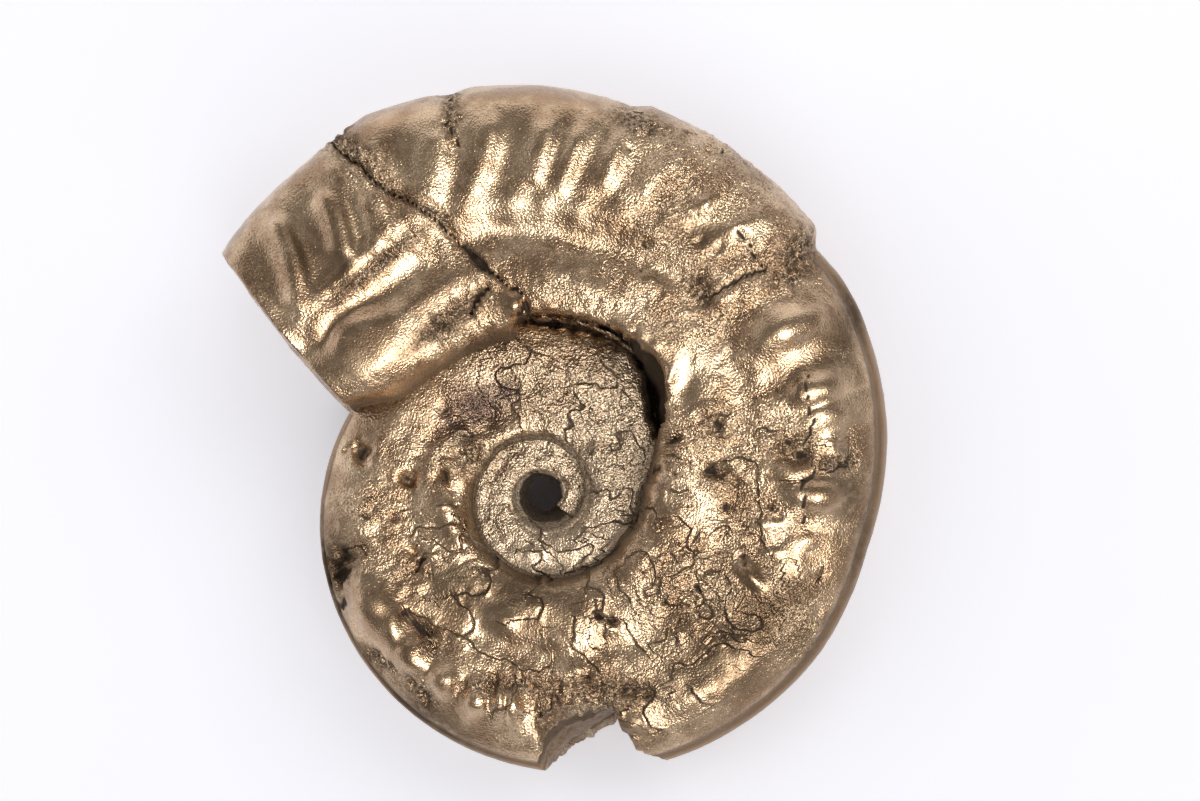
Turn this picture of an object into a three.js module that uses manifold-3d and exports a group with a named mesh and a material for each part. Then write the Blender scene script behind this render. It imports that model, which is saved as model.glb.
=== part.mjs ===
// A small ammonite whose shell has turned to pyrite, lying on its side.
// The tube of the shell is one coil that widens by the same share in every degree. Growth angles are
// in degrees along the coil: 0 and 360 lie on +X, and the coil grows counterclockwise seen from above.
// Sizes are in millimetres. Up to the last step the coil axis is Z and the middle plane of the coil is Z = 0.
import * as THREE from "three";
import { LoftGeometry } from "three/addons/geometries/LoftGeometry.js";
import { mergeVertices } from "three/addons/utils/BufferGeometryUtils.js";
import Module from "manifold-3d";

const wasm = await Module();
wasm.setup();

// The coil.
const RIM_AT_ZERO = 8.15;
const GROWTH_PER_DEGREE = 0.0023038;
const SEAM_SHARE = 0.29;
const DORSUM_SHARE = 0.36;
const HALF_THICKNESS_SHARE = 0.241;
const ADULT_ANGLE = 360;
const ADULT_GAIN = 0.8;
const ADULT_SPAN = 70;
const COIL_START = -401;
const FIRST_TURN_END = COIL_START + 360;
const INNER_JOIN = -96;
const MIDDLE_JOIN = 160;
const OUTER_JOIN = 421;
const COIL_END = 517;

// The hole through the middle.
const HOLE_RADIUS = 0.91;
const HOLE_EDGE_HALF_HEIGHT = 0.22;

// Growth angle, and how far the rim stands outside the even coil there.
const RIM_CHANGES = [
  [330, 0], [350, -0.3], [370, 0], [390, 0], [396, -0.15], [402, -0.5], [404, 0.2], [420, 0.06],
  [434, -0.06], [437, -0.4], [450, -0.5], [460, -0.75], [463, -1.05], [466, -0.98], [475, -1.25],
  [485, -2.4], [495, -3.03], [505, -3.93], [520, -5.0],
];
// Growth angle, and the radius of the inner edge of the last whorl where it no longer follows the seam.
const EDGE_RADII = [
  [365, 5.6], [375, 6.1], [388, 7.0], [405, 8.3], [416, 9.4], [430, 9.65], [450, 9.5], [456, 9.5],
  [459, 8.9], [466, 8.45], [484, 8.4], [505, 9.1], [512, 10.4], [517, 11.6], [541, 14.0],
];
// Growth angle, and how high the inner edge starts, as a share of the half thickness.
const EDGE_HEIGHTS = [
  [395, 0.3], [410, 0.21], [455, 0.21], [460, 0.3],
];
const DORSUM_HEIGHTS = [
  [395, 0.1], [410, 0.2], [455, 0.2], [460, 0.1], [500, 0.1], [512, 0.2],
];

// Half of the whorl section from the inner edge (0) to the rim (1), and its height as a share of the
// half thickness: wall, bulge, spiral groove, outer flank, shoulder, furrow and keel.
const UPPER_PROFILE = [
  [0, 0.3], [0.03, 0.6], [0.09, 0.86], [0.2, 1.0], [0.31, 0.985], [0.41, 0.925], [0.52, 0.955],
  [0.64, 0.95], [0.77, 0.86], [0.88, 0.68], [0.955, 0.42], [0.952, 0.24], [0.99, 0.12], [1, 0],
];
const LOWER_PROFILE = [
  [0, 0.3], [0.04, 0.66], [0.12, 0.9], [0.24, 1.0], [0.42, 0.925], [0.62, 0.95], [0.82, 0.8],
  [0.955, 0.42], [0.952, 0.24], [0.99, 0.12], [1, 0],
];
// Growth angles of the rib crests on the outer half of the last whorl, with their heights.
const RIB_CRESTS = [
  [359, 0.22], [366, 0.14], [374, 0.2], [380, 0.24], [393, 0.36], [403, 0.16], [413.5, 0.2], [422, 0.2],
  [430.5, 0.24], [438.5, 0.26], [445, 0.28], [451, 0.3], [461, 0.34], [469.5, 0.36], [479.5, 0.36],
  [486, 0.3], [496.5, 0.34], [506, 0.34], [515, 0.34],
];
const RIB_HALF_WIDTH = 2.1;
const RIB_FORWARD_BEND = 26;
const RIB_MIDDLE = 0.68;
const RIB_INNER_EDGE = 0.44;
const RIB_OUTER_EDGE = 0.97;

// Bumps (+) and hollows (-) of the upper side: growth angle, place across the whorl (0 to 1),
// half length in degrees, half width across, height.
const UPPER_RELIEF = [
  [214, 0.79, 6, 0.12, 0.32], [223, 0.8, 3.5, 0.09, 0.16], [232, 0.77, 4, 0.11, 0.34],
  [242.5, 0.76, 3.5, 0.1, 0.32], [252.8, 0.74, 3.2, 0.1, 0.36], [258.6, 0.74, 2.4, 0.09, 0.3],
  [264, 0.74, 2.4, 0.09, 0.24], [393, 0.62, 4.5, 0.1, 0.3], [379.6, 0.7, 3, 0.08, 0.24],
  [374, 0.72, 2.8, 0.08, 0.22], [358.7, 0.72, 3, 0.08, 0.26], [340, 0.74, 4, 0.09, 0.22],
  [325, 0.75, 4, 0.09, 0.2], [200, 0.9, 4, 0.08, -0.5], [486, 0.84, 5, 0.13, -0.42],
  [499, 0.2, 10, 0.13, 0.34], [470, 0.2, 9, 0.14, -0.24], [455, 0.3, 7, 0.14, -0.2],
  [432, 0.34, 12, 0.1, -0.3], [170, 0.3, 12, 0.16, 0.16], [188, 0.26, 7, 0.1, 0.2],
];

// The straight break that ends the last whorl, on a plan whose centre is the coil axis. The sections
// of the coil turn into it from BREAK_TURN_START on, and it leans outward going down.
const BREAK_OUTER = new THREE.Vector2(-17.6, 12.87);
const BREAK_INNER = new THREE.Vector2(-10.78, 4.56);
const BREAK_TURN_START = 478;
const BREAK_LEAN = 0.12;

// The notch in the rim below, on the same plan at three heights.
const NOTCH_UPPER_HEIGHT = 3.3;
const NOTCH_REACH = 7;
const NOTCH_UPPER = [
  [-1.7, -19.5], [-0.33, -13.6], [-0.17, -12.05], [1.05, -11.35], [3.9, -11.45], [4.15, -11.28],
  [4.3, -13.15], [5.25, -14.0], [7.2, -14.9], [8.6, -19.5],
];
const NOTCH_MIDDLE = [
  [-0.6, -19.5], [0.1, -14.7], [1.3, -13.25], [3.05, -12.2], [4.0, -11.7], [4.15, -11.5],
  [4.25, -13.4], [5.25, -14.1], [6.8, -14.6], [8.6, -19.5],
];
const NOTCH_LOWER = [
  [-0.2, -19.5], [0.9, -15.6], [2.6, -14.4], [3.6, -13.3], [4.1, -12.6], [4.2, -12.3],
  [4.3, -13.9], [5.2, -14.4], [6.4, -14.9], [8.6, -19.5],
];

// The open crack across the last whorl, followed from the rim inward: plan position, half width.
const CRACK_LINE = [
  [-12.6, 20.6, 0.16], [-8.8, 16.7, 0.2], [-6.3, 15.3, 0.13], [-4.95, 13.95, 0.16],
  [-3.95, 12.9, 0.42], [-3.1, 11.7, 0.38], [-2.1, 11.0, 0.12], [-0.6, 10.1, 0.08],
];
const CRACK_FLOOR = 4.3;

// How the fossil lies: turned about X and Y so that it rests on its own three low places,
// each worn flat by REST_WEAR.
const REST_TURN_X = 2.76;
const REST_TURN_Y = 1.04;
const REST_WEAR = 0.1;

// Degrees from one section to the next in each stretch of the coil.
const INNER_STEP = 11;
const MIDDLE_STEP = 7.5;
const OUTER_STEP = 3.6;
const LAST_STEP = 2.1;

const FAR = 60;
const COLOUR = 0xa98a5a;
const DEGREE = Math.PI / 180;

// Straight-line value between knots, held level outside them.
function between(knots, at) {
  if (at <= knots[0][0]) return knots[0][1];
  for (let i = 1; i < knots.length; i++) {
    const [from, low] = knots[i - 1];
    const [to, high] = knots[i];
    if (at <= to) return low + ((high - low) * (at - from)) / (to - from);
  }
  return knots[knots.length - 1][1];
}

const evenRim = (angle) => RIM_AT_ZERO * Math.exp(GROWTH_PER_DEGREE * angle);
const rimRadius = (angle) => evenRim(angle) + between(RIM_CHANGES, angle);
const bell = (x) => Math.exp(-x * x);

function edgeRadius(angle) {
  return angle < EDGE_RADII[0][0] ? SEAM_SHARE * evenRim(angle) : between(EDGE_RADII, angle);
}

function halfThickness(angle) {
  const young = HALF_THICKNESS_SHARE * evenRim(Math.min(angle, ADULT_ANGLE));
  const past = Math.max(0, angle - ADULT_ANGLE);
  return young + ADULT_GAIN * (1 - Math.exp(-past / ADULT_SPAN));
}

function ribHeight(angle, across) {
  if (across < RIB_INNER_EDGE || across > RIB_OUTER_EDGE) return 0;
  const fade = Math.sin((Math.PI * (across - RIB_INNER_EDGE)) / (RIB_OUTER_EDGE - RIB_INNER_EDGE));
  const bent = angle - RIB_FORWARD_BEND * Math.max(0, across - RIB_MIDDLE) ** 2;
  let height = 0;
  for (const [crest, rise] of RIB_CRESTS) height += rise * bell((bent - crest) / RIB_HALF_WIDTH);
  return height * Math.sqrt(fade);
}

function reliefHeight(angle, across) {
  let height = 0;
  for (const [at, place, length, width, rise] of UPPER_RELIEF) {
    height += rise * bell((angle - at) / length) * bell((across - place) / width);
  }
  return height;
}

// How far back along the coil, in degrees, the break meets a radius and height.
function breakShift(radius, height) {
  const across = BREAK_OUTER.clone().sub(BREAK_INNER).normalize();
  const nearest = BREAK_INNER.dot(across);
  const offLine = BREAK_INNER.clone().addScaledVector(across, -nearest);
  const reach = Math.sqrt(Math.max(0, radius * radius - offLine.lengthSq()));
  const met = offLine.clone().addScaledVector(across, Math.max(reach, nearest));
  const turn = (met.angle() - BREAK_INNER.angle()) / DEGREE;
  return turn - (BREAK_LEAN * height) / (radius * DEGREE);
}

// One closed section of the whorl at a growth angle, upper side first.
function whorlSection(angle) {
  const first = angle < FIRST_TURN_END;
  const turning = Math.max(0, angle - BREAK_TURN_START) / (COIL_END - BREAK_TURN_START);
  const radiusAt = (at, across) => edgeRadius(at) + (rimRadius(at) - edgeRadius(at)) * across;

  // The point at a place across the whorl and a share of its half thickness, on the upper (1) or lower (-1) side.
  function pointAt(across, share, side) {
    let at = angle;
    for (let round = 0; turning > 0 && round < 6; round++) {
      at = angle + turning * breakShift(radiusAt(at, across), side * share * halfThickness(at));
    }
    const relief = side > 0 ? reliefHeight(at, across) : 0;
    const height = halfThickness(at) * share + ribHeight(at, across) + relief;
    return pointOn(at, radiusAt(at, across), side * height);
  }
  function sidePoints(profile, side) {
    return profile.map(([across, share], i) => {
      return pointAt(across, i ? share : between(EDGE_HEIGHTS, angle), side);
    });
  }

  const dorsum = first ? HOLE_RADIUS : DORSUM_SHARE * evenRim(angle);
  const dorsumHeight = first
    ? HOLE_EDGE_HALF_HEIGHT
    : halfThickness(angle) * between(DORSUM_HEIGHTS, angle);
  return [
    pointOn(angle, dorsum, dorsumHeight),
    ...sidePoints(UPPER_PROFILE, 1),
    ...sidePoints(LOWER_PROFILE.slice(0, -1), -1).reverse(),
    pointOn(angle, dorsum, -dorsumHeight),
  ];
}

function pointOn(angle, radius, height) {
  const turn = angle * DEGREE;
  return new THREE.Vector3(radius * Math.cos(turn), radius * Math.sin(turn), height);
}

function solidOf(geometry) {
  const bare = new THREE.BufferGeometry();
  bare.setAttribute("position", geometry.getAttribute("position"));
  bare.setIndex(geometry.getIndex());
  const merged = mergeVertices(bare, 1e-4);
  return new wasm.Manifold(
    new wasm.Mesh({
      numProp: 3,
      vertProperties: new Float32Array(merged.attributes.position.array),
      triVerts: new Uint32Array(merged.index.array),
    }),
  );
}

function geometryOf(solid) {
  const mesh = solid.getMesh();
  const geometry = new THREE.BufferGeometry();
  geometry.setAttribute("position", new THREE.BufferAttribute(mesh.vertProperties, 3));
  geometry.setIndex(new THREE.BufferAttribute(mesh.triVerts, 1));
  return geometry;
}

// A stretch of the coil, under one full turn long so that it never meets itself.
function stretch(from, to, step) {
  const count = Math.round((to - from) / step);
  const sections = [];
  for (let i = 0; i <= count; i++) {
    sections.push(whorlSection(from + ((to - from) * i) / count));
  }
  return solidOf(new LoftGeometry(sections, { capStart: true, capEnd: true }));
}

// The notch widens upward: its plan is known at three heights.
function rimNotch() {
  const planAt = (plan, height) => plan.map(([x, y]) => new THREE.Vector3(x, y, height));
  const levels = [
    planAt(NOTCH_UPPER, NOTCH_REACH),
    planAt(NOTCH_UPPER, NOTCH_UPPER_HEIGHT),
    planAt(NOTCH_MIDDLE, 0),
    planAt(NOTCH_LOWER, -NOTCH_REACH),
  ];
  return solidOf(new LoftGeometry(levels, { capStart: true, capEnd: true }));
}

// A blade that follows the crack, down to a level floor.
function crackBlade() {
  const left = [];
  const right = [];
  CRACK_LINE.forEach(([x, y, width], i) => {
    const [x0, y0] = CRACK_LINE[Math.max(0, i - 1)];
    const [x1, y1] = CRACK_LINE[Math.min(CRACK_LINE.length - 1, i + 1)];
    const side = new THREE.Vector2(y0 - y1, x1 - x0).normalize().multiplyScalar(width);
    left.push(new THREE.Vector2(x + side.x, y + side.y));
    right.unshift(new THREE.Vector2(x - side.x, y - side.y));
  });
  const blade = new THREE.ExtrudeGeometry(new THREE.Shape([...left, ...right]), {
    depth: FAR,
    bevelEnabled: false,
  });
  blade.translate(0, 0, CRACK_FLOOR);
  return solidOf(blade);
}

function fossil() {
  const whole = stretch(COIL_START, INNER_JOIN, INNER_STEP)
    .add(stretch(INNER_JOIN, MIDDLE_JOIN, MIDDLE_STEP))
    .add(stretch(MIDDLE_JOIN, OUTER_JOIN, OUTER_STEP))
    .add(stretch(OUTER_JOIN, COIL_END, LAST_STEP))
    .subtract(rimNotch())
    .subtract(crackBlade());
  const lying = geometryOf(whole);
  lying.rotateX(REST_TURN_X * DEGREE);
  lying.rotateY(REST_TURN_Y * DEGREE);
  lying.computeBoundingBox();
  const box = lying.boundingBox;
  lying.translate(-(box.min.x + box.max.x) / 2, -(box.min.y + box.max.y) / 2, -box.min.z - REST_WEAR);
  const ground = new THREE.BoxGeometry(FAR, FAR, FAR);
  ground.translate(0, 0, -FAR / 2);
  // Joining leaves a few slivers of no volume beside the one body.
  const bodies = solidOf(lying).subtract(solidOf(ground)).decompose();
  bodies.sort((one, other) => other.volume() - one.volume());
  return geometryOf(bodies[0]);
}

const pyrite = new THREE.MeshStandardMaterial({ color: COLOUR, roughness: 0.38, metalness: 1 });
const ammonite = new THREE.Mesh(fossil(), pyrite);
ammonite.name = "ammonite";

const part = new THREE.Group();
part.name = "ammonite_fossil";
part.add(ammonite);

export default part;
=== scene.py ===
"""A small ammonite whose shell has turned to pyrite, lying on its side on a pale table."""

import math

import bpy
import numpy as np
from mathutils import Matrix, Vector


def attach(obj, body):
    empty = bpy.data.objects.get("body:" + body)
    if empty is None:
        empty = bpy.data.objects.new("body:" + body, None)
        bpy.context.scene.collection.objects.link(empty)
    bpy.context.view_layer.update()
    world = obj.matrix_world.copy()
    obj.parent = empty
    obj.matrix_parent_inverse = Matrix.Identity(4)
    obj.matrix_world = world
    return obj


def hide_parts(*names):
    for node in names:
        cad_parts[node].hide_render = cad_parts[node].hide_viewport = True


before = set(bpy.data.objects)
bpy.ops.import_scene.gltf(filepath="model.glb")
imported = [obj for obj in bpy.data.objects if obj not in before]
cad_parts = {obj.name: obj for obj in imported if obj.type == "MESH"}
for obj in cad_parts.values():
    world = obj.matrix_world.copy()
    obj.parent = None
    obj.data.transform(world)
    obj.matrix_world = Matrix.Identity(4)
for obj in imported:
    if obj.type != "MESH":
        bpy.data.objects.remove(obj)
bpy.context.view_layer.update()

bl_info = {
    "name": "Pyrite Ammonite",
    "version": (1, 0, 0),
    "blender": (4, 5, 0),
    "location": "3D View > Sidebar > Ammonite",
    "description": "Makes an ammonite turned to pyrite, and the pale table and soft light around it",
    "category": "Add Mesh",
}

PIECE = "ammonite"
MM = 0.001
DEGREE = math.pi / 180

# Lengths in this file are in millimetres up to the last step of each piece, and growth angles are in
# degrees along the coil: 0 and 360 lie on +X, and the coil grows counterclockwise seen from above.
COIL_START = -401
FIRST_TURN_END = -41
LAST_TURN_START = 157
COIL_END = 517
ADULT_ANGLE = 360
ADULT_GAIN = 0.8
ADULT_SPAN = 70
DORSUM_SHARE = 0.36
HOLE_EDGE_HALF_HEIGHT = 0.22

# Growth angles where a stretch of the coil begins, with the step from one section to the next.
COARSE_STRETCHES = [(COIL_START, 4.0), (-203, 2.4), (30, 1.4)]
FINE_STEP = 0.585

# Rows of one section: on each side from the rim line inward, and under the inner edge.
UPPER_ROWS = 92
LOWER_ROWS = 32
INNER_ROWS = 4
# Width of a whorl as a share of its half thickness, for even spacing of the rows.
WIDTH_SHARE = 1.75

# Growth angle, and how far the rim stands outside the even coil there.
RIM_CHANGES = [
    (330, 0), (350, -0.3), (370, 0), (390, 0), (396, -0.15), (402, -0.5), (404, 0.2), (420, 0.06),
    (434, -0.06), (437, -0.4), (450, -0.5), (460, -0.75), (463, -1.05), (466, -0.98), (475, -1.25),
    (485, -2.4), (495, -3.03), (505, -3.93), (520, -5.0),
]
# Growth angle, and the radius of the inner edge of the last whorl where it no longer follows the seam.
EDGE_RADII = [
    (365, 5.6), (375, 6.1), (388, 7.0), (405, 8.3), (416, 8.6), (430, 8.55), (450, 8.45), (466, 8.45),
    (484, 8.4), (505, 9.1), (512, 10.4), (517, 11.6), (541, 14.0),
]
# Growth angles between which the wall stands nearly straight down from the top of the whorl, over a dark
# gap: where that begins, is full, starts to end and has ended. The wall lies inside this place across.
OVERHANG = (410, 420, 455, 460)
OVERHANG_PLACE = 0.11
OVERHANG_STEEPNESS = 0.9
# Growth angle, and how high the seams are filled with dirt, as a share of the half thickness.
SEAM_FILL = [(-41, 0.86), (60, 0.74), (160, 0.62), (360, 0.56), (385, 0)]
# Growth angle, and how high the inner edge and the inner face start, as shares of the half thickness.
EDGE_HEIGHTS = [(395, 0.3), (410, 0.21), (455, 0.21), (460, 0.3)]
DORSUM_HEIGHTS = [(395, 0.1), (410, 0.2), (455, 0.2), (460, 0.1), (500, 0.1), (512, 0.2)]
# The wall is lifted to those heights inside this place across, and where its own height is this low.
EDGE_REACH = 0.2
EDGE_LIFT = (0.55, 0.3)

# Half of the whorl section from the inner edge (0) to the rim (1), and its height as a share of the
# half thickness: wall, bulge, spiral groove, outer flank, shoulder, furrow and keel.
UPPER_PROFILE = [
    (0, 0.3), (0.03, 0.73), (0.06, 0.88), (0.11, 0.96), (0.2, 1.0), (0.31, 0.985), (0.41, 0.925),
    (0.52, 0.955), (0.64, 0.95), (0.77, 0.86), (0.88, 0.69), (0.945, 0.52), (0.962, 0.42),
    (0.957, 0.31), (0.97, 0.262), (0.988, 0.215), (1, 0.1), (1, 0),
]
# The same near the rim where the keel is missing: the flank rounds off into the rim.
ROUNDED_RIM = [
    (0.6, 0.953), (0.72, 0.935), (0.82, 0.885), (0.89, 0.805), (0.94, 0.69), (0.975, 0.5), (0.993, 0.28),
    (1, 0),
]
# Growth angles between which the keel ends and that form takes over.
KEEL_END = (400.5, 403.5)
# Places across between which the keel begins, and the place and half width of the furrow beside it.
KEEL_EDGE = (0.952, 0.962)
FURROW = (0.959, 0.006)
# The lower side's half of the section, which shows no damage.
LOWER_PROFILE = [
    (0, 0.3), (0.04, 0.66), (0.12, 0.9), (0.24, 1.0), (0.42, 0.925), (0.62, 0.95), (0.82, 0.8),
    (0.925, 0.5), (0.935, 0.42), (0.927, 0.31), (0.985, 0.215), (1, 0.1), (1, 0),
]
# Growth angles of the rib crests on the outer half of the last whorl, with their heights. A crest is this
# wide in degrees, leans by this many degrees across the whorl, and lies between these places across.
RIB_CRESTS = [
    (359, 0.22), (366, 0.14), (374, 0.2), (380, 0.24), (393, 0.36), (403, 0.16), (413.5, 0.2),
    (422, 0.2), (430.5, 0.24), (438.5, 0.26), (445, 0.28), (451, 0.3), (461, 0.34), (469.5, 0.36),
    (479.5, 0.36), (486, 0.3), (496.5, 0.34), (506, 0.34), (515, 0.34),
]
RIB_HALF_WIDTH = 2.5
RIB_LEAN = 20
RIB_MIDDLE = 0.68
RIB_INNER_EDGE = 0.44
RIB_OUTER_EDGE = 0.97
# The even ribs keep this share of their height past these growth angles, where traced ridges join them.
RIB_GAIN = 0.7
RIB_GAIN_ANGLES = (385, 405)
# The spiral groove and the ridge outside it (place across, half width, height), the growth angles between
# which they begin, and those between which they lose this share of their height.
GROOVE = (0.4, 0.075, -0.22)
GROOVE_RIDGE = (0.53, 0.045, 0.1)
GROOVE_ANGLES = (395, 440)
GROOVE_LOSS_ANGLES = (460, 474)
GROOVE_LOSS = 0.6

# Bumps (+) and hollows (-) of the upper side: growth angle, place across the whorl (0 to 1),
# half length in degrees, half width across, height.
UPPER_RELIEF = [
    (214, 0.79, 6, 0.12, 0.32), (223, 0.8, 3.5, 0.09, 0.16), (232, 0.77, 4, 0.11, 0.34),
    (242.5, 0.76, 3.5, 0.1, 0.32), (252.8, 0.74, 3.2, 0.1, 0.36), (258.6, 0.74, 2.4, 0.09, 0.3),
    (264, 0.74, 2.4, 0.09, 0.24), (393, 0.62, 4.5, 0.1, 0.3), (379.6, 0.7, 3, 0.08, 0.24),
    (374, 0.72, 2.8, 0.08, 0.22), (358.7, 0.72, 3, 0.08, 0.26), (340, 0.74, 4, 0.09, 0.22),
    (325, 0.75, 4, 0.09, 0.2), (200, 0.9, 4, 0.08, -0.5), (486, 0.84, 5, 0.13, -0.12),
    (499, 0.2, 10, 0.13, 0.34), (470, 0.2, 9, 0.14, -0.24), (455, 0.3, 7, 0.14, -0.2),
    (312, 0.8, 15, 0.09, 0.3), (222, 0.91, 20, 0.07, -0.25), (432, 0.34, 12, 0.1, -0.3),
    (170, 0.3, 12, 0.16, 0.16), (188, 0.26, 7, 0.1, 0.2), (503, 0.82, 16, 0.2, -0.4),
]

# The straight break that ends the last whorl, in the plan of the coil, and how it leans and bulges.
BREAK_OUTER = np.array([-17.6, 12.87])
BREAK_INNER = np.array([-10.78, 4.56])
BREAK_TURN_START = 478
BREAK_LEAN = 0.12
BREAK_BULGE = 0.26
BREAK_ROUNDS = 6

# The notch in the rim below, at three heights over the middle plane: growth angle and inner radius.
NOTCH_HEIGHTS = (-7.0, 0.0, 3.3)
NOTCH_UPPER = [
    (264.5, 60), (264.9, 19.6), (268.4, 13.6), (269.2, 12.1), (271.6, 11.6), (275.3, 11.4), (288.8, 12.1),
    (290.0, 12.0), (290.4, 14.9), (295.8, 16.5), (297.2, 20.0), (297.5, 60),
]
NOTCH_MIDDLE = [
    (267.8, 60), (268.2, 19.6), (270.4, 14.7), (275.6, 13.3), (284.0, 12.6), (288.9, 12.4), (289.8, 12.4),
    (290.4, 14.6), (294.9, 16.2), (297.0, 20.0), (297.3, 60),
]
NOTCH_LOWER = [
    (269.0, 60), (269.4, 19.6), (273.3, 15.6), (280.2, 14.6), (285.2, 13.8), (288.6, 13.2), (289.4, 13.2),
    (290.2, 14.9), (293.7, 15.7), (296.0, 20.0), (296.3, 60),
]

# How the fossil lies: turned about X and then Y, with the coil's centre at this place.
REST_TURN_X = 2.76
REST_TURN_Y = 1.04
REST_CENTRE = np.array([-0.48859, -3.67566, 4.60243])

# The photograph is 1200 by 801 pixels and sees the coil from this far off its axis.
PHOTO_WIDTH = 1200
PHOTO_MIDDLE = (600.0, 400.5)
VIEW_TILT = 5.0
VIEW_TURN = -10.0
VIEW_DISTANCE = 275.0
MM_PER_PIXEL = 0.055
LOOK_RIGHT = 3.025
LOOK_UP = 5.14
SENSOR = 36.0

# Places below that name pixels are (x, y) in the photograph.
# Suture lines of the shell, each with its raised side on the left of the line as it runs.
SUTURES = [
    [(522.9, 342.3), (534.8, 350.9), (527.2, 356.4), (525, 362.9), (499, 369.4), (495.8, 375.9),
     (497.9, 386.7), (512, 387.8), (519.6, 391), (518.5, 397.6), (509.9, 404), (512, 412.7),
     (519.6, 418.1), (521.8, 431.2)],
    [(590, 345.5), (597.7, 352), (595.5, 357.4), (600.9, 362.9), (611.7, 371.5), (618.3, 378),
     (615, 383.5), (621.5, 388.9), (603, 388.9), (594.4, 383.5), (583.6, 381.3), (572.7, 385.6),
     (555.4, 386.7)],
    [(572.7, 385.6), (571.6, 393.2), (579.2, 398.6), (585.7, 406.2), (579.2, 409.5),
     (569.5, 410.6), (567.3, 418.1), (571.6, 425.7), (563, 430), (566.2, 438.7)],
    [(590, 456.1), (594.4, 451.7), (598.7, 445.2), (607.4, 444.2), (611.7, 449.6),
     (620.4, 447.4), (620.4, 440.9), (616, 435.5), (620.4, 430), (629, 430), (635.6, 438.7),
     (641, 447.4)],
    [(590, 495), (598.7, 491.8), (609.6, 491.8), (611.7, 498.3), (618.3, 499.4), (621.5, 492.9),
     (627, 488.6), (633.4, 490.8), (634.5, 497.3), (632.3, 505.9), (633.4, 514.6),
     (636.7, 516.8)],
    [(579.2, 536.3), (583.6, 528.7), (598.7, 525.4), (611.7, 521), (624.8, 523.3),
     (629, 525.4)],
    [(566, 551), (581, 548), (590, 543), (594, 547), (590, 555), (581, 562), (577, 566.6)],
    [(541.3, 529.8), (542.4, 537.4), (538, 540.6), (546.7, 545)],
    [(522.9, 551.5), (540.2, 549.3), (542.4, 555.8), (535.9, 562.3)],
    [(473, 540.6), (499, 559), (497.8, 568.8), (483.7, 568.8), (490, 584), (483.7, 593),
     (465.9, 594.3), (453, 596.9), (463.3, 607), (474.8, 619.9), (473.5, 628.8),
     (463.3, 635.2), (450.5, 632.6), (435.2, 625), (412.3, 612.2)],
    [(425, 538.2), (437.8, 543.3), (448, 551), (459.5, 548.4), (460.8, 533.1),
     (469.7, 538.2), (476, 528)],
    [(535.9, 568.8), (547.5, 576.5), (538.6, 577.8), (542.4, 585), (527, 593), (541, 599.4),
     (543.7, 607), (538.6, 617.3), (516.9, 621)],
    [(622.6, 545), (590, 575.3), (592.2, 581.8), (583.6, 587.2), (599, 587.2),
     (602.4, 596.9), (601, 609.6), (588.3, 614.8)],
    [(621.5, 564.5), (629, 556.9), (642, 551.5), (648.6, 554.7), (651.9, 564.5), (655, 572),
     (653, 580.7), (644.3, 589.9), (647.7, 597.9), (660.4, 589.9), (660.4, 578.4),
     (671.8, 576.1), (683.3, 569.2), (692.5, 566.9), (694.8, 557.7), (701.7, 549.7)],
    [(644.3, 510.3), (653, 508), (657.3, 523.3), (664.9, 517.9), (676.8, 514.6),
     (686.8, 523.3), (690.2, 530.2), (687.9, 545), (694, 550.5), (701.7, 548.6),
     (708.6, 539.4), (713.2, 530), (726.9, 522.2), (731.5, 527.9)],
    [(465.9, 637.7), (478.6, 650.5), (504, 660.7), (519.4, 668.3), (539.9, 670.9),
     (552.6, 663.2), (551.3, 650.5), (545, 640.3)],
    [(726.9, 461.3), (740.7, 459), (756.8, 461.3), (760.2, 472.8), (757.9, 479.7),
     (759.1, 488.9), (754.5, 500.3), (761.4, 507.2), (756.8, 518.7), (761.4, 530.2),
     (763.7, 541.7), (768.2, 548.6)],
    [(697, 578), (699.4, 587.6), (705, 599), (699.4, 608.2), (697, 617.4), (708.6, 622),
     (715.4, 615), (713, 608), (704, 603.7)],
    [(726.9, 578.4), (731.5, 589.9), (726.9, 599), (724.6, 610.5), (726.9, 622), (736, 628.9),
     (749.9, 631.2), (763.7, 626.6), (761.4, 617.4), (749.9, 615)],
    [(598.4, 617.4), (614.4, 615), (625.9, 624.3), (635, 640.4), (644.3, 651.9)],
    [(653.5, 642.7), (667.2, 638), (667.2, 628.9), (676.4, 624.3), (683.3, 615),
     (694.8, 610.5)],
    [(671.8, 672.5), (676.4, 665.6), (690.2, 665.6), (701.7, 656.5), (708.6, 649.6),
     (722.3, 642.7), (736.1, 647.3), (747.6, 650.7)],
    [(704, 640.4), (710.8, 633.5), (726.9, 632.4), (738.4, 634.6)],
]
# Suture lines between those: growth angles of the first and the last, how far apart they are, between
# which places across they run, and how far in millimetres they stay from a traced line.
SUTURE_START = 186
SUTURE_LAST = 384
SUTURE_SPACING = 12.5
SUTURE_PLACES = (0.04, 0.86)
SUTURE_CLEARANCE = 0.42
# Their lobes and frills: reach in degrees, waves across the whorl in radians, and where they start.
SUTURE_LOBES = [(2.6, 13, 0.6), (1.1, 31, 0), (0.55, 67, 0)]
# Width of the step at a suture line, how far it fades in millimetres, and its share of the full step.
TRACED_STEP = (0.05, 0.3, 1.0)
FAMILY_STEP = (0.07, 0.45, 0.7)

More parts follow.
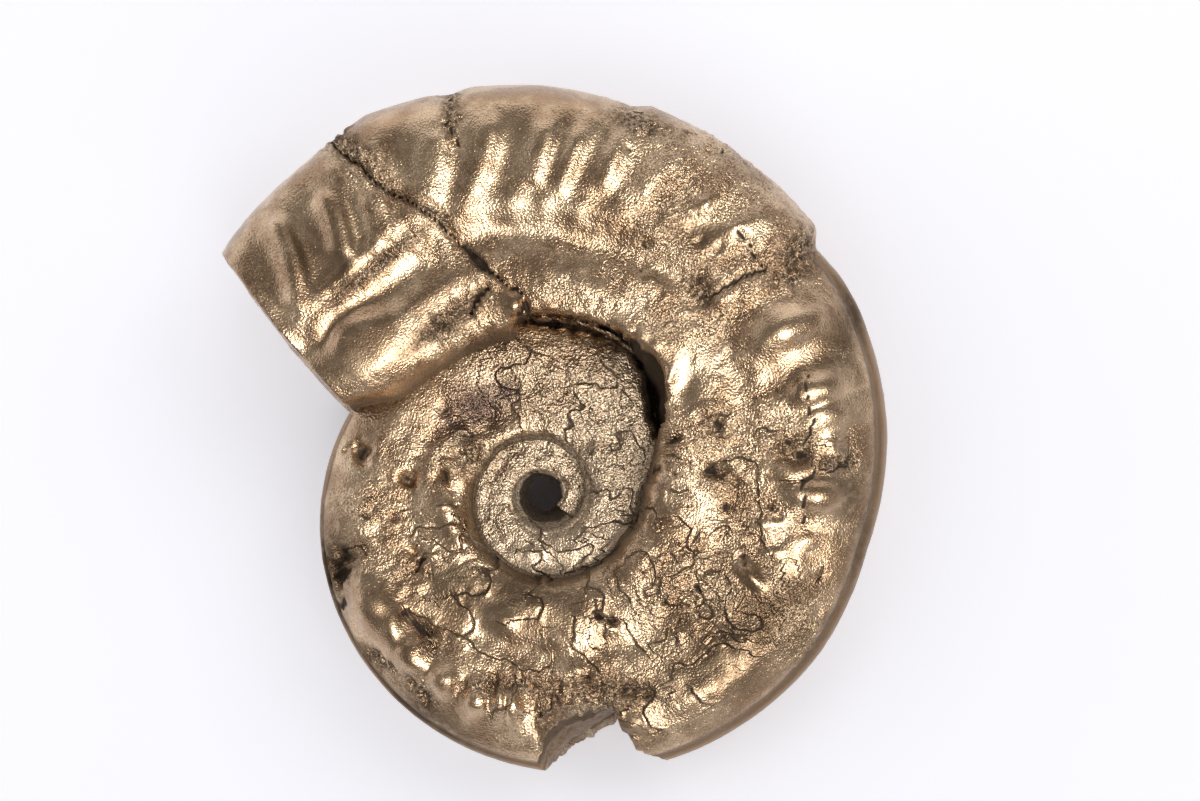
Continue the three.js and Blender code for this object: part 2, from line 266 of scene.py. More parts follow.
# Cracks: how deep each goes, and (x, y, half width in pixels) along it.
CRACKS = [
    (0.5, [(330, 140, 1), (352, 160, 1.3), (372, 178, 1.8), (385, 190, 1.8), (408, 202, 1.3),
           (430, 215, 1.2), (447, 232, 1.5), (458, 240, 2.4), (468, 250, 3.5), (476, 260, 4.5),
           (484, 268, 4.5), (494, 274, 2.2), (508, 284, 1.4), (525, 296, 1.4)]),
    (0.7, [(487, 286, 2.2), (479, 294, 3), (474, 304, 3), (470, 312, 1.4)]),
    (0.3, [(450, 98, 1.3), (449, 110, 1.6), (447, 122, 1.4), (454, 134, 1.4), (457, 146, 1)]),
    (0.1, [(807, 378, 1), (806, 388, 1.3), (808, 396, 1.3), (803, 402, 1.3), (811, 408, 1.7),
           (809, 416, 1.3), (813, 424, 1.3), (809, 436, 1.6), (804, 444, 2)]),
    (0.1, [(846, 466, 1.5), (832, 471, 2), (818, 470, 1.8), (807, 476, 1.5), (805, 484, 1.5),
           (802, 492, 1.8), (806, 500, 2), (802, 508, 1.5), (803, 516, 1.3), (800, 524, 1)]),
    (0.3, [(735, 230, 1), (747, 240, 1.6), (752, 252, 1.6), (760, 265, 1)]),
    (0.25, [(700, 300, 1), (722, 288, 1.8), (742, 276, 1.8), (765, 268, 1.6), (792, 262, 1.2)]),
    (0.3, [(402, 610, 1.5), (414, 622, 3), (424, 634, 3), (433, 645, 1.5)]),
    (0.5, [(516, 322, 2), (524, 300, 2), (527, 318, 3)]),
]
# How far from a crack's line its side begins and how near its floor, as shares of its half width.
CRACK_SIDE = (1.5, 0.45)
# The gap beside the inner turn, sunk and painted dark as shade: its depth, and (x, y, half width in pixels)
# along it.
CREVICE_DEPTH = 2.6
CREVICE_SIDE = (1.25, 0.8)
CREVICE = [
    (520, 319, 2), (535, 320, 4), (551, 323, 5), (571, 326, 6.5), (590, 329, 8), (611, 335, 9),
    (633, 347, 9), (648, 362, 10), (654, 380, 11), (656, 400, 10), (656, 418, 6), (656, 434, 2.5),
]
# Pits: pixel, radius in pixels and depth.
PITS = [
    (360, 454, 10, 0.7), (409.7, 478, 9, 0.6), (445.4, 478, 7, 0.5), (718, 425.7, 7, 0.5),
    (716, 473, 9, 0.7), (706, 470, 6, 0.4), (723.5, 510.5, 4.5, 0.4), (673, 440, 7, 0.5),
    (656, 469, 4, 0.3), (673, 473, 4, 0.3), (788, 444, 7, 0.55), (797, 455, 9, 0.65),
    (819.9, 578.4, 4, 0.3), (413.5, 553.5, 5, 0.4), (421, 563.7, 5, 0.4), (340.8, 558, 10, 0.7),
    (342, 574, 10, 0.7), (344.7, 602, 6, 0.4), (707, 150, 3.5, 0.35), (717, 150, 3.5, 0.35),
    (600, 619, 6, 0.4), (610, 619, 6, 0.4), (443, 408, 6, 0.45), (468, 435, 6, 0.45),
    (646, 248, 4, 0.4), (650, 256, 3.5, 0.35), (698, 244, 3.5, 0.35), (716, 252, 3, 0.3),
    (640, 270, 3, 0.3), (738, 262, 3, 0.3), (795, 232, 4, 0.35), (802, 244, 4, 0.35),
    (546, 240, 2.5, 0.25), (580, 248, 3.5, 0.25), (558, 128, 2.5, 0.2), (497, 250, 3, 0.3),
    (640, 112, 4, 0.35), (652, 128, 4, 0.35), (690, 132, 3, 0.3), (628, 150, 4, 0.3),
    (636, 166, 3, 0.25), (625, 690, 5, 0.4), (643, 700, 5, 0.4), (588, 676, 4, 0.35),
    (560, 690, 5, 0.4), (700, 590, 4, 0.3), (742, 560, 4, 0.35), (735, 478, 4, 0.3),
    (770, 505, 4, 0.3), (782, 520, 4, 0.3), (664, 604, 4, 0.3), (395, 520, 4, 0.3),
]
# Raised knobs and hollows: pixel, half length and half width in pixels, turn in degrees, height.
KNOBS = [
    (793, 324, 34, 24, 4, 0.36), (801, 387, 10, 14, 0, 0.24), (824, 387, 21, 18, 0, 0.36),
    (830, 414, 24, 10, 0, 0.2), (829, 443, 13, 12, 0, 0.22), (783, 473, 30, 11, 8, 0.26),
    (791, 489, 16, 12, -20, 0.26), (823, 494, 22, 19, 0, 0.36), (765, 524, 10, 11, 0, 0.24),
    (782, 521, 10, 7, 30, 0.2), (802, 541, 16, 10, 10, 0.2), (773, 552, 10, 9, 0, 0.16),
    (371, 602, 32, 19, -58, 0.46), (394, 624, 11, 17, 0, 0.26), (411, 654, 27, 15, -45, 0.46),
    (445, 679, 14, 14, 0, 0.42), (476, 697, 17, 12, 90, 0.48), (499, 700, 15, 6, 90, 0.34),
    (513, 705, 16, 7.5, 90, 0.42), (358, 340, 31, 30, 40, 0.68), (515, 305, 12, 10, 150, 0.3),
    (450, 522, 27, 10, -70, 0.34), (752, 577, 18, 9, -50, 0.42), (504, 620, 14, 9, -30, 0.26),
    (705, 204, 16, 7, 30, 0.3), (742, 226, 14, 8, 30, 0.2), (793.5, 562, 14, 12, 30, 0.2),
    (686, 388, 26, 13, 70, -0.22), (665, 392, 26, 5, 72, 0.26), (648, 278, 22, 12, -30, 0.2),
    (590, 285, 22, 12, -20, 0.16), (485, 418, 30, 20, 20, -0.5), (470, 446, 22, 8, 120, 0.3),
    (640, 340, 30, 12, -35, 0.3), (630, 722, 10, 18, 80, 0.3), (604, 640, 26, 12, 160, -0.14),
    (700, 690, 40, 16, 20, 0.14), (630, 545, 24, 10, 140, 0.16), (575, 640, 30, 14, 10, 0.12),
    (490, 688, 20, 6, 20, -0.2), (520, 688, 20, 5, 0, -0.16), (430, 640, 8, 14, 20, -0.25),
    (746, 312, 26, 7, 25, -0.16), (724, 300, 26, 6, 28, 0.16), (575, 668, 12, 8, 0, 0.24),
]
# Ridges (+) and furrows (-) of the adult part: height, half widths in pixels on the left and on the right
# of the crest as it runs down the picture, and the crest itself.
RIDGES = [
    (0.5, 16, 8, [(272, 214), (282, 228), (291, 247), (298, 274), (300, 295), (297, 316)]),
    (0.5, 16, 8, [(317, 190), (330, 202), (338, 217), (344, 240), (347, 264)]),
    (0.46, 15, 8, [(370, 186), (379, 200), (384, 212), (386, 226), (384, 242)]),
    (0.36, 14, 11, [(440, 128), (441, 145), (439, 165), (436, 178), (431, 190), (426, 203)]),
    (0.32, 10, 11, [(495, 108), (490, 135), (486, 155), (482, 170), (476, 182), (472, 200)]),
    (0.34, 13, 9, [(553, 112), (547, 140), (541, 160), (537, 175), (532, 188)]),
    (0.28, 9, 9, [(584, 118), (577, 145), (571, 160), (563, 180), (557, 200)]),
    (0.28, 10, 9, [(626, 115), (619, 145), (613, 160), (607, 178), (600, 196)]),
    (0.22, 9, 7, [(680, 158), (661, 172), (650, 184), (640, 200)]),
    (0.2, 8, 6, [(425, 205), (407, 219), (387, 233), (362, 257), (335, 281), (304, 309), (290, 338)]),
    (0.2, 12, 12, [(437, 228), (408, 249), (385, 268), (350, 293), (320, 318), (303, 345)]),
    (-0.2, 13, 14, [(455, 256), (435, 266), (405, 284), (371, 308), (343, 334), (321, 358)]),
    (0.16, 10, 20, [(505, 262), (470, 272), (438, 290), (408, 312), (384, 330)]),
]
# Stretches where the surface is a crust of small crystals: pixel, half length, half width, turn.
CRUSTS = [
    (365, 165, 46, 22, -40), (368, 505, 26, 20, 0), (362, 560, 18, 26, 0), (530, 684, 95, 20, 6),
    (700, 200, 80, 70, 30), (745, 290, 90, 60, 20), (760, 480, 60, 90, 0), (700, 430, 40, 70, 0),
    (690, 590, 70, 60, 30), (600, 270, 90, 34, 10), (560, 370, 60, 40, 10), (440, 255, 60, 16, 150),
    (480, 350, 70, 20, 155), (640, 480, 22, 60, 0), (630, 715, 16, 26, 0), (780, 620, 46, 46, 0),
    (478, 408, 36, 24, 25), (442, 316, 44, 16, 38), (400, 590, 40, 50, 40), (560, 690, 60, 18, 0),
    (460, 450, 40, 30, 0), (660, 330, 40, 30, 30),
]
# Stretches that stayed silky, darker and smooth: pixel, half length, half width, turn.
SILKS = [
    (378, 356, 40, 24, 38), (420, 640, 60, 60, -40), (440, 300, 50, 14, 40),
    (500, 600, 95, 42, 15), (470, 515, 10, 28, 5), (655, 490, 12, 46, 0), (390, 250, 36, 10, 150),
    (560, 265, 44, 10, 5), (686, 385, 12, 32, 20), (330, 250, 60, 40, 120), (520, 120, 90, 34, 10),
    (400, 130, 40, 30, 150), (705, 232, 26, 14, 160), (735, 665, 60, 24, 145), (500, 225, 20, 12, 0),
]
# Stretches full of small deep pits and loose crystals, in the same way, as are the next three lists.
GRITS = [
    (356, 154, 38, 14, -42), (388, 190, 30, 6, -35), (382, 262, 56, 7, 38), (446, 318, 30, 8, 38),
    (451, 118, 9, 30, 0), (640, 122, 26, 12, -20),
    (792, 448, 20, 16, 0), (800, 250, 22, 16, 60), (718, 474, 12, 12, 0), (718, 428, 10, 12, 0),
    (478, 262, 16, 9, -40), (436, 216, 26, 7, -38), (790, 276, 26, 8, 20), (342, 566, 11, 20, 0),
    (428, 640, 10, 20, 30), (600, 690, 60, 12, 0), (500, 684, 40, 9, 0), (470, 455, 20, 12, 60),
    (840, 462, 22, 8, 10), (420, 690, 22, 8, -50), (380, 660, 20, 6, -40), (700, 290, 14, 20, 20),
]
# Where the hollow beside the inner turns is filled with a purple-brown mass.
TARNISH = [(478, 405, 34, 24, 25), (505, 392, 16, 12, 0), (455, 425, 16, 12, 0)]
# Stretches painted brown: partly a bloom on the metal, and partly painted shade, as on the dark shoulder at
# the lower right and the right flank.
UMBERS = [
    (735, 640, 120, 52, 40), (735, 672, 80, 34, 40), (805, 590, 40, 30, 60), (850, 500, 22, 90, 0),
    (845, 330, 18, 60, -15), (330, 560, 14, 60, 0), (430, 715, 60, 12, -30), (440, 330, 60, 10, 30),
    (500, 590, 110, 30, -10), (700, 235, 30, 16, -25), (560, 340, 40, 10, 0), (345, 262, 10, 40, 0),
    (300, 250, 8, 40, 20), (712, 674, 46, 22, 40), (795, 642, 60, 20, 52), (322, 640, 16, 50, -30),
    (350, 690, 40, 12, -45),
]
# The rough grey ledge under the overhanging edge, and the grey block in the rim notch.
LEDGES = [(637, 345, 30, 12, 38), (631, 720, 11, 20, 0)]

# How many times higher the knobs and hollows are than their list says.
KNOB_GAIN = 1.35
# Above this height the surface is pressed together, and never gets higher than the reach above it.
TOP_START = 10.35
TOP_REACH = 0.6
# Growth angles at which the beige, crusted look of the inner turns has ended and where it is full.
INNER_END = (150, 40)
# Seeds of the noise, and its cells in millimetres.
RAGGED_SEEDS = (61, 67)
LUMP_SEED = 11
KNOLL_SEED = 23
CRUST_SEED = 37
FRACTURE_SEED = 51
RAGGED_CELL = 0.45
PATCH_CELL = 2.2
CRUST_CELL = 1.3
KNOLL_CELLS = (0.42, 0.24)
LUMP_CELLS = (2.6, 1.1)
FRACTURE_CELLS = (0.9, 0.35)
# How far in pixels the noise shifts the edges of lines and pits.
RAGGED_PIXELS = 3.2
# How much crust the side without a photograph has.
UNDERSIDE_CRUST = 0.35
# The upper side's finish ends at this share of the way under the inner edge, and ledges lie outside this
# radius.
UPPER_END = 0.3
LEDGE_RADIUS = 8
# The family of suture lines shows where the noise is above this and the silk below this.
KEPT_NOISE = 0.12
KEPT_SILK = 0.3
# Places across between which the seams darken towards the inner edge.
SEAM_EDGE = (0.07, 0.01)
# Share of the way under the inner edge from which the wall of the centre hole is painted dark as shade.
HOLE_START = 0.4
# Heights in millimetres: wide and narrow lumps, and the knolls of metal, ledges, grit and notch walls.
LUMP_HEIGHTS = (0.06, 0.035)
PLAIN_KNOLLS = 0.015
LEDGE_KNOLLS = 0.14
GRIT_KNOLLS = 0.24
CUT_KNOLLS = 0.26
GRIT_DEPTH = 0.16
# How much of its detail the keel loses.
KEEL_CALM = 0.75
# Rings of points in the caps at the coil's start and at the break, and the relief of the break.
START_RINGS = 2
BREAK_RINGS = 12
FRACTURE_HEIGHT = 0.16
# What the finish knows on the caps: they are all crust, and no suture line is near.
CAP_FACTS = {"crust": 1.0, "suture": 1.0}

# Grain of the finish, as features in a millimetre.
CLOUD_SCALE = 0.42
BREAK_SCALE = 0.8
PATCH_SCALE = 1.7
LINE_WIDTH_SCALE = 2.2
PORE_SCALE = 3.4
CRYSTAL_SCALE = 4.2
CELL_SCALE = 4.4
GRAIN_SCALE = 8.5
DUST_SCALE = 9.0
# Heights of its bumps, in millimetres.
GRAIN_HEIGHT = 0.11
DUST_HEIGHT = 0.014
FACET_HEIGHT = 0.03
CELL_DEPTH = 0.05
LOOSE_HEIGHT = 0.16
CRYSTAL_HEIGHT = 0.03
LINE_DEPTH = 0.05
STEP_HEIGHT = 0.05
PORE_DEPTH = 0.06
# Its darkest colours: the brown of the bloom and painted shade, the painted shade in the specks between the
# grains, and the purple-brown infill.
BLOOM_AND_SHADE = (0.13, 0.085, 0.05)
SPECK_SHADE = (0.12, 0.08, 0.045)
INFILL = (0.11, 0.07, 0.06)


class FossilSizes(bpy.types.PropertyGroup):
    """Sizes of the fossil"""

    rim_radius: bpy.props.FloatProperty(
        name="Rim radius",
        description="Radius of the coil's rim at growth angle 0",
        default=8.15 * MM,
        subtype="DISTANCE",
    )
    growth: bpy.props.FloatProperty(
        name="Growth in a turn",
        description="How many times wider the coil gets in one full turn",
        default=2.2919,
    )
    seam: bpy.props.FloatProperty(
        name="Seam",
        description="Radius of a whorl's inner edge as a share of its rim radius",
        default=0.29,
        subtype="FACTOR",
    )
    half_thickness: bpy.props.FloatProperty(
        name="Half thickness",
        description="Half the thickness of a young whorl as a share of its rim radius",
        default=0.241,
        subtype="FACTOR",
    )
    hole_radius: bpy.props.FloatProperty(
        name="Hole radius",
        description="Radius of the hole through the middle of the coil",
        default=0.91 * MM,
        subtype="DISTANCE",
    )
    suture_step: bpy.props.FloatProperty(
        name="Suture step",
        description="How far the shell stands up on one side of a suture line",
        default=0.15 * MM,
        subtype="DISTANCE",
    )
    crust_height: bpy.props.FloatProperty(
        name="Crust height",
        description="Height of the crystal crust's lumps",
        default=0.11 * MM,
        subtype="DISTANCE",
    )


class PyriteFinish(bpy.types.PropertyGroup):
    """Colours and roughness of the pyrite"""

    bright: bpy.props.FloatVectorProperty(
        name="Bright gold",
        description="Colour of the clean pyrite",
        default=(0.735, 0.542, 0.358),
        subtype="COLOR",
    )
    brown: bpy.props.FloatVectorProperty(
        name="Brown gold",
        description="Colour of the tarnished pyrite",
        default=(0.42, 0.28, 0.173),
        subtype="COLOR",
    )
    dull: bpy.props.FloatVectorProperty(
        name="Dull beige",
        description="Colour of the weathered inner turns",
        default=(0.6, 0.475, 0.345),
        subtype="COLOR",
    )
    # This colour is also painted shade: the cracks, pits, pores, gap beside the inner turn, centre hole,
    # furrow by the keel and low places between loose crystals get it.
    dirt_and_shade: bpy.props.FloatVectorProperty(
        name="Dirt",
        description="Colour of the dirt in lines, cracks and pits",
        default=(0.035, 0.025, 0.018),
        subtype="COLOR",
    )
    roughness: bpy.props.FloatProperty(
        name="Roughness",
        description="Roughness of the clean pyrite",
        default=0.23,
        subtype="FACTOR",
    )


class StageSettings(bpy.types.PropertyGroup):
    """The table and the lights"""

    floor_size: bpy.props.FloatProperty(
        name="Table size",
        description="Width of the pale table",
        default=1.6,
        subtype="DISTANCE",
    )
    floor_colour: bpy.props.FloatVectorProperty(
        name="Table colour",
        description="Colour of the pale table",
        default=(0.87, 0.875, 0.93),
        subtype="COLOR",
    )
    floor_glow: bpy.props.FloatProperty(
        name="Glow of the table",
        description="Light that the table gives off around the fossil",
        default=0.4,
    )
    key_power: bpy.props.FloatProperty(
        name="Main light",
        description="Power of the large soft light at the lower right",
        default=1.7,
        unit="POWER",
    )
    glow_power: bpy.props.FloatProperty(
        name="Glow of the main light",
        description="Power of the wide glow round the main light, which only the metal shows",
        default=1.1,
        unit="POWER",
    )
    table_power: bpy.props.FloatProperty(
        name="Table lights",
        description="Power of the three lights around the table that only brighten the table",
        default=1.75,
        unit="POWER",
    )
    shadow_power: bpy.props.FloatProperty(
        name="Shadow light",
        description="Power of the light at the right that casts the pale shadow on the table",
        default=0.4,
        unit="POWER",
    )
    fill_power: bpy.props.FloatProperty(
        name="Side lights",
        description="Power of the pale card beyond the fossil, and twice that of the one at its left",
        default=0.8,
        unit="POWER",
    )
    sky: bpy.props.FloatProperty(
        name="Room light",
        description="Brightness of the room around the table",
        default=0.22,
    )


# The form of the fossil.


def smooth_curve(knots, at):
    """Smooth value between knots: a cubic curve whose slope at each knot is the harmonic mean of the slopes
    on both sides, or 0 where the knots turn, so that it never overshoots. It is level outside the knots."""
    x, y = np.array(knots, float).T
    step = np.diff(x)
    slope = np.diff(y) / step
    turning = slope[:-1] * slope[1:] <= 0
    total = np.where(turning, 1, slope[:-1] + slope[1:])
    inner = np.where(turning, 0, 2 * slope[:-1] * slope[1:] / total)
    slopes = np.concatenate([slope[:1], inner, slope[-1:]])
    at = np.clip(at, x[0], x[-1])
    i = np.clip(np.searchsorted(x, at, side="right") - 1, 0, len(step) - 1)
    t = (at - x[i]) / step[i]
    rising = y[i] * (1 + 2 * t) * (1 - t) ** 2 + y[i + 1] * t * t * (3 - 2 * t)
    leaning = slopes[i] * t * (1 - t) ** 2 - slopes[i + 1] * t * t * (1 - t)
    return rising + step[i] * leaning


def level(knots, at):
    """Straight-line value between knots, level outside them."""
    x, y = np.array(knots, float).T
    return np.interp(at, x, y)


def bell(x):
    """1 at 0, falling to 0 on both sides: e to the power of minus x squared."""
    return np.exp(-x * x)


def smooth_step(low, high, x):
    """0 below low, 1 above high, and an S between them."""
    t = np.clip((x - low) / (high - low), 0, 1)
    return t * t * (3 - 2 * t)


def profile_points(profile, count):
    """count points evenly spaced along a profile: their places across, and their shares of the height."""
    across, share = np.array(profile, float).T
    length = np.hypot(np.diff(across) * WIDTH_SHARE, np.diff(share))
    along = np.concatenate([[0], np.cumsum(length)])
    at = np.linspace(0, along[-1], count)
    places = smooth_curve(np.column_stack([along, across]), at)
    return places, smooth_curve(np.column_stack([along, share]), at)


def lattice_noise(points, cell, seed):
    """Noise from -1 to 1: random values on the corners of cubes of size cell, with S curves between."""
    side = 64
    table = np.random.default_rng(seed).uniform(-1, 1, (side, side, side))
    scaled = points / cell
    low = np.floor(scaled).astype(int)
    t = scaled - low
    t = t * t * (3 - 2 * t)
    total = np.zeros(points.shape[:-1])
    for corner in np.ndindex(2, 2, 2):
        weight = np.prod(np.where(corner, t, 1 - t), axis=-1)
        index = (low + corner) % side
        total += weight * table[index[..., 0], index[..., 1], index[..., 2]]
    return total


class Coil:
    """The growth laws of the coil, in millimetres and degrees."""

    def __init__(self, sizes):
        self.rim_at_zero = sizes.rim_radius / MM
        self.growth = math.log(sizes.growth) / 360
        self.seam = sizes.seam
        self.half_share = sizes.half_thickness
        self.hole = sizes.hole_radius / MM

    def even_rim(self, angle):
        """Rim radius of the even coil: it grows by the same share in every degree."""
        return self.rim_at_zero * np.exp(self.growth * angle)

    def rim(self, angle):
        """The even rim plus the changes along it, straight between their knots."""
        return self.even_rim(angle) + level(RIM_CHANGES, angle)

    def edge(self, angle):
        """Radius of the inner edge: on the seam of the turn inside until the last whorl leaves it."""
        first = EDGE_RADII[0][0]
        own = smooth_curve(EDGE_RADII, angle)
        return np.where(angle < first, self.seam * self.even_rim(angle), own)

    def half(self, angle):
        """Half thickness: a share of the rim radius while young, and nearly constant when adult."""
        past = np.maximum(0, angle - ADULT_ANGLE)
        young = self.half_share * self.even_rim(np.minimum(angle, ADULT_ANGLE))
        return young + ADULT_GAIN * (1 - np.exp(-past / ADULT_SPAN))

    def radius(self, angle, across):
        """Radius of a place across the whorl: straight from the inner edge (0) to the rim (1)."""
        return self.edge(angle) + (self.rim(angle) - self.edge(angle)) * across


def rib_height(angle, across):
    """Sum of bells across the rib crests, which lean back towards the rim when adult and fade at both
    ends."""
    inside = np.clip((across - RIB_INNER_EDGE) / (RIB_OUTER_EDGE - RIB_INNER_EDGE), 0, 1)
    bent = angle + RIB_LEAN * (across - RIB_MIDDLE) * smooth_step(*RIB_GAIN_ANGLES, angle)
    crests = sum(rise * bell((bent - crest) / RIB_HALF_WIDTH) for crest, rise in RIB_CRESTS)
    crests = crests * (1 + (RIB_GAIN - 1) * smooth_step(*RIB_GAIN_ANGLES, angle))
    return crests * np.sqrt(np.maximum(0, np.sin(math.pi * inside)))


def relief_height(angle, across):
    """Sum of the bumps and hollows, each a bell along the coil times a bell across it."""
    single = sum(
        rise * bell((angle - at) / length) * bell((across - place) / width)
        for at, place, length, width, rise in UPPER_RELIEF
    )
    spiral = sum(rise * bell((across - place) / width) for place, width, rise in (GROOVE, GROOVE_RIDGE))
    kept = 1 - GROOVE_LOSS * smooth_step(*GROOVE_LOSS_ANGLES, angle)
    return single + spiral * smooth_step(*GROOVE_ANGLES, angle) * kept


def break_shift(radius, height):
    """How far back along the coil, in degrees, the straight break meets a radius and a height. The break
    bulges a little in its middle and leans outward going down."""
    span = BREAK_OUTER - BREAK_INNER
    across = span / np.hypot(*span)
    nearest = BREAK_INNER @ across
    off_line = BREAK_INNER - nearest * across
    reach = np.sqrt(np.maximum(0, radius**2 - off_line @ off_line))
    along = np.maximum(reach, nearest)
    met_x = off_line[0] + across[0] * along
    met_y = off_line[1] + across[1] * along
    turn = np.arctan2(met_y, met_x) - math.atan2(BREAK_INNER[1], BREAK_INNER[0])
    place = np.clip((along - nearest) / np.hypot(*span), 0, 1)
    outward = BREAK_BULGE * np.sin(math.pi * place) - BREAK_LEAN * height
    return (turn + outward / radius) / DEGREE


def section_rows():
    """Rows of one section as arrays: place across (0 to 1), share of the half thickness, side (1 or -1),
    and how far the row lies under the inner edge (0 to 1). Upper side first, then round the keel."""
    upper_across, upper_share = profile_points(UPPER_PROFILE, UPPER_ROWS)
    lower_across, lower_share = profile_points(LOWER_PROFILE, LOWER_ROWS)
    under = np.linspace(1, 0, INNER_ROWS + 1)[:-1]
    zeros = np.zeros(INNER_ROWS)
    across = np.concatenate([zeros, upper_across, lower_across[-2::-1], zeros[1:]])
    start = np.full(INNER_ROWS, upper_share[0])
    share = np.concatenate([start, upper_share, lower_share[-2::-1], start[1:]])
    side = np.concatenate([np.ones(INNER_ROWS + UPPER_ROWS), -np.ones(LOWER_ROWS + INNER_ROWS - 2)])
    ends = np.concatenate([under, np.zeros(UPPER_ROWS + LOWER_ROWS - 1), under[:0:-1]])
    return across, share, side, ends


def keelless_rows(across, share, side):
    """The same rows where the keel is missing: the outermost ones lie evenly along the rounded rim."""
    across, share = across.copy(), share.copy()
    for sign in (1, -1):
        rows = np.nonzero((side == sign) & (across > ROUNDED_RIM[0][0]))[0]
        places, shares = profile_points(ROUNDED_RIM, len(rows) + (sign < 0))
        across[rows] = places if sign > 0 else places[-2::-1]
        share[rows] = shares if sign > 0 else shares[-2::-1]
    return across, share


def coil_surface(coil, angles):
    """Points of the shell's tube on a grid of sections by rows, in the coil's own frame, with the growth
    angle, place across, side, depth under the inner edge and share of notch wall of each. Radius and height
    follow the section's profile, and the last sections turn into the break."""
    across, share, side, under = section_rows()
    rounded_across, rounded_share = keelless_rows(across, share, side)
    grid = np.repeat(angles[:, None], len(across), axis=1)
    across, share, side, under = (np.broadcast_to(row, grid.shape) for row in (across, share, side, under))
    keelless = smooth_step(*KEEL_END, grid)
    across = across + keelless * (rounded_across - across)
    share = share + keelless * (rounded_share - share)
    straight = smooth_step(*OVERHANG[:2], grid) * (1 - smooth_step(*OVERHANG[2:], grid))
    wall = (side > 0) & (across < OVERHANG_PLACE)
    across = across + straight * wall * OVERHANG_STEEPNESS * (OVERHANG_PLACE - across)
    near_edge = across < EDGE_REACH
    low = smooth_step(*EDGE_LIFT, share) * near_edge
    share = share + low * (level(EDGE_HEIGHTS, grid) - EDGE_HEIGHTS[0][1])
    share = np.where(near_edge, np.maximum(share, level(SEAM_FILL, grid)), share)

    turning = np.maximum(0, grid - BREAK_TURN_START) / (COIL_END - BREAK_TURN_START)
    at = grid.copy()
    for _ in range(BREAK_ROUNDS):
        at = grid + turning * break_shift(coil.radius(at, across), side * share * coil.half(at))

    ribs = rib_height(at, across)
    relief = np.where(side > 0, relief_height(at, across), 0)
    height = coil.half(at) * share + ribs + relief
    radius = coil.radius(at, across)

    first = grid < FIRST_TURN_END
    dorsum = np.where(first, coil.hole, DORSUM_SHARE * coil.even_rim(grid))
    dorsum_height = np.where(first, HOLE_EDGE_HALF_HEIGHT, coil.half(grid) * level(DORSUM_HEIGHTS, grid))
    at = np.where(under > 0, at + under * (grid - at), at)
    radius = radius + under * (dorsum - radius)
    height = side * (height + under * (dorsum_height - height))

    limit = notch_radius(at, height)
    cut = (radius > limit).astype(float)
    radius = np.minimum(radius, limit)
    turn = at * DEGREE
    points = np.stack([radius * np.cos(turn), radius * np.sin(turn), height], axis=-1)
    return points, at, across, side, under, cut


def notch_radius(angle, height):
    """Largest radius that the rim notch leaves at a growth angle and a height: the straight-line value
    between its outlines at three heights."""
    low, middle, high = (level(plan, angle) for plan in (NOTCH_LOWER, NOTCH_MIDDLE, NOTCH_UPPER))
    bottom, centre, top = NOTCH_HEIGHTS
    below = np.clip((height - bottom) / (centre - bottom), 0, 1)
    above = np.clip((height - centre) / (top - centre), 0, 1)
    return np.where(height < centre, low + (middle - low) * below, middle + (high - middle) * above)


def rest_matrix():
    """How the fossil lies: a turn about X, then one about Y."""
    turned = Matrix.Rotation(REST_TURN_Y * DEGREE, 3, "Y") @ Matrix.Rotation(REST_TURN_X * DEGREE, 3, "X")
    return np.array(turned)


def view_axes():
    """The camera's right, up and backward directions, and the point in the middle of the picture."""
    tilt, turn = VIEW_TILT * DEGREE, VIEW_TURN * DEGREE
    local = np.array([math.sin(tilt) * math.cos(turn), math.sin(tilt) * math.sin(turn), math.cos(tilt)])
    back = rest_matrix() @ local
    up = np.array([0, 1, 0]) - back[1] * back
    up /= np.linalg.norm(up)
    right = np.cross(up, back)
    return right, up, back, REST_CENTRE + LOOK_RIGHT * right + LOOK_UP * up


def photo_pixels(points):
    """Where points show in the photograph, in pixels, by the camera's perspective."""
    right, up, back, middle = view_axes()
    away = points - middle
    grow = VIEW_DISTANCE / (VIEW_DISTANCE - away @ back) / MM_PER_PIXEL
    x = PHOTO_MIDDLE[0] + away @ right * grow
    y = PHOTO_MIDDLE[1] - away @ up * grow
    return np.stack([x, y], axis=-1)


def grid_normals(points):
    """Outward normals of the tube: the cross product of the directions along and round it."""
    along = np.gradient(points, axis=0)
    round_it = np.roll(points, -1, axis=1) - np.roll(points, 1, axis=1)
    normal = np.cross(round_it, along)
    return normal / np.maximum(np.linalg.norm(normal, axis=-1, keepdims=True), 1e-9)


def line_distance(pixels, line):
    """Distance in pixels from each place to a line of straight pieces, positive on its left side, and the
    number of the nearest piece plus the share of it that lies before the nearest place."""
    line = np.array(line, float)
    edge = line[1:] - line[:-1]
    to = pixels[:, None] - line[:-1]
    share = np.clip((to * edge).sum(-1) / (edge**2).sum(-1), 0, 1)
    distance = np.linalg.norm(to - share[..., None] * edge, axis=-1)
    best = distance.argmin(1)
    rows = np.arange(len(pixels))
    nearest = to[rows, best]
    turn = edge[best, 0] * nearest[:, 1] - edge[best, 1] * nearest[:, 0]
    side = np.where(turn > 0, -1.0, 1.0)
    return side * distance[rows, best], best + share[rows, best]


def near_line(pixels, line, reach):
    """Numbers of the places within reach pixels of a line's box."""
    line = np.array(line, float)[:, :2]
    low, high = line.min(0) - reach, line.max(0) + reach
    return np.nonzero(((pixels > low) & (pixels < high)).all(-1))[0]


def oval(pixels, x, y, length, width, turn):
    """A bell whose half length lies along turn, in degrees counterclockwise in the picture."""
    across, down = pixels[:, 0] - x, pixels[:, 1] - y
    cos, sin = math.cos(turn * DEGREE), math.sin(turn * DEGREE)
    along = across * cos - down * sin
    aside = across * sin + down * cos
    return np.exp(-((along / length) ** 2) - (aside / width) ** 2)


def spots(pixels, places, upper):
    """Largest of several soft ovals on the upper side: each is 1 at its middle and falls to 0 round it."""
    total = np.zeros(len(pixels))
    for place in places:
        total = np.maximum(total, oval(pixels, *place))
    return np.where(upper, total, 0)


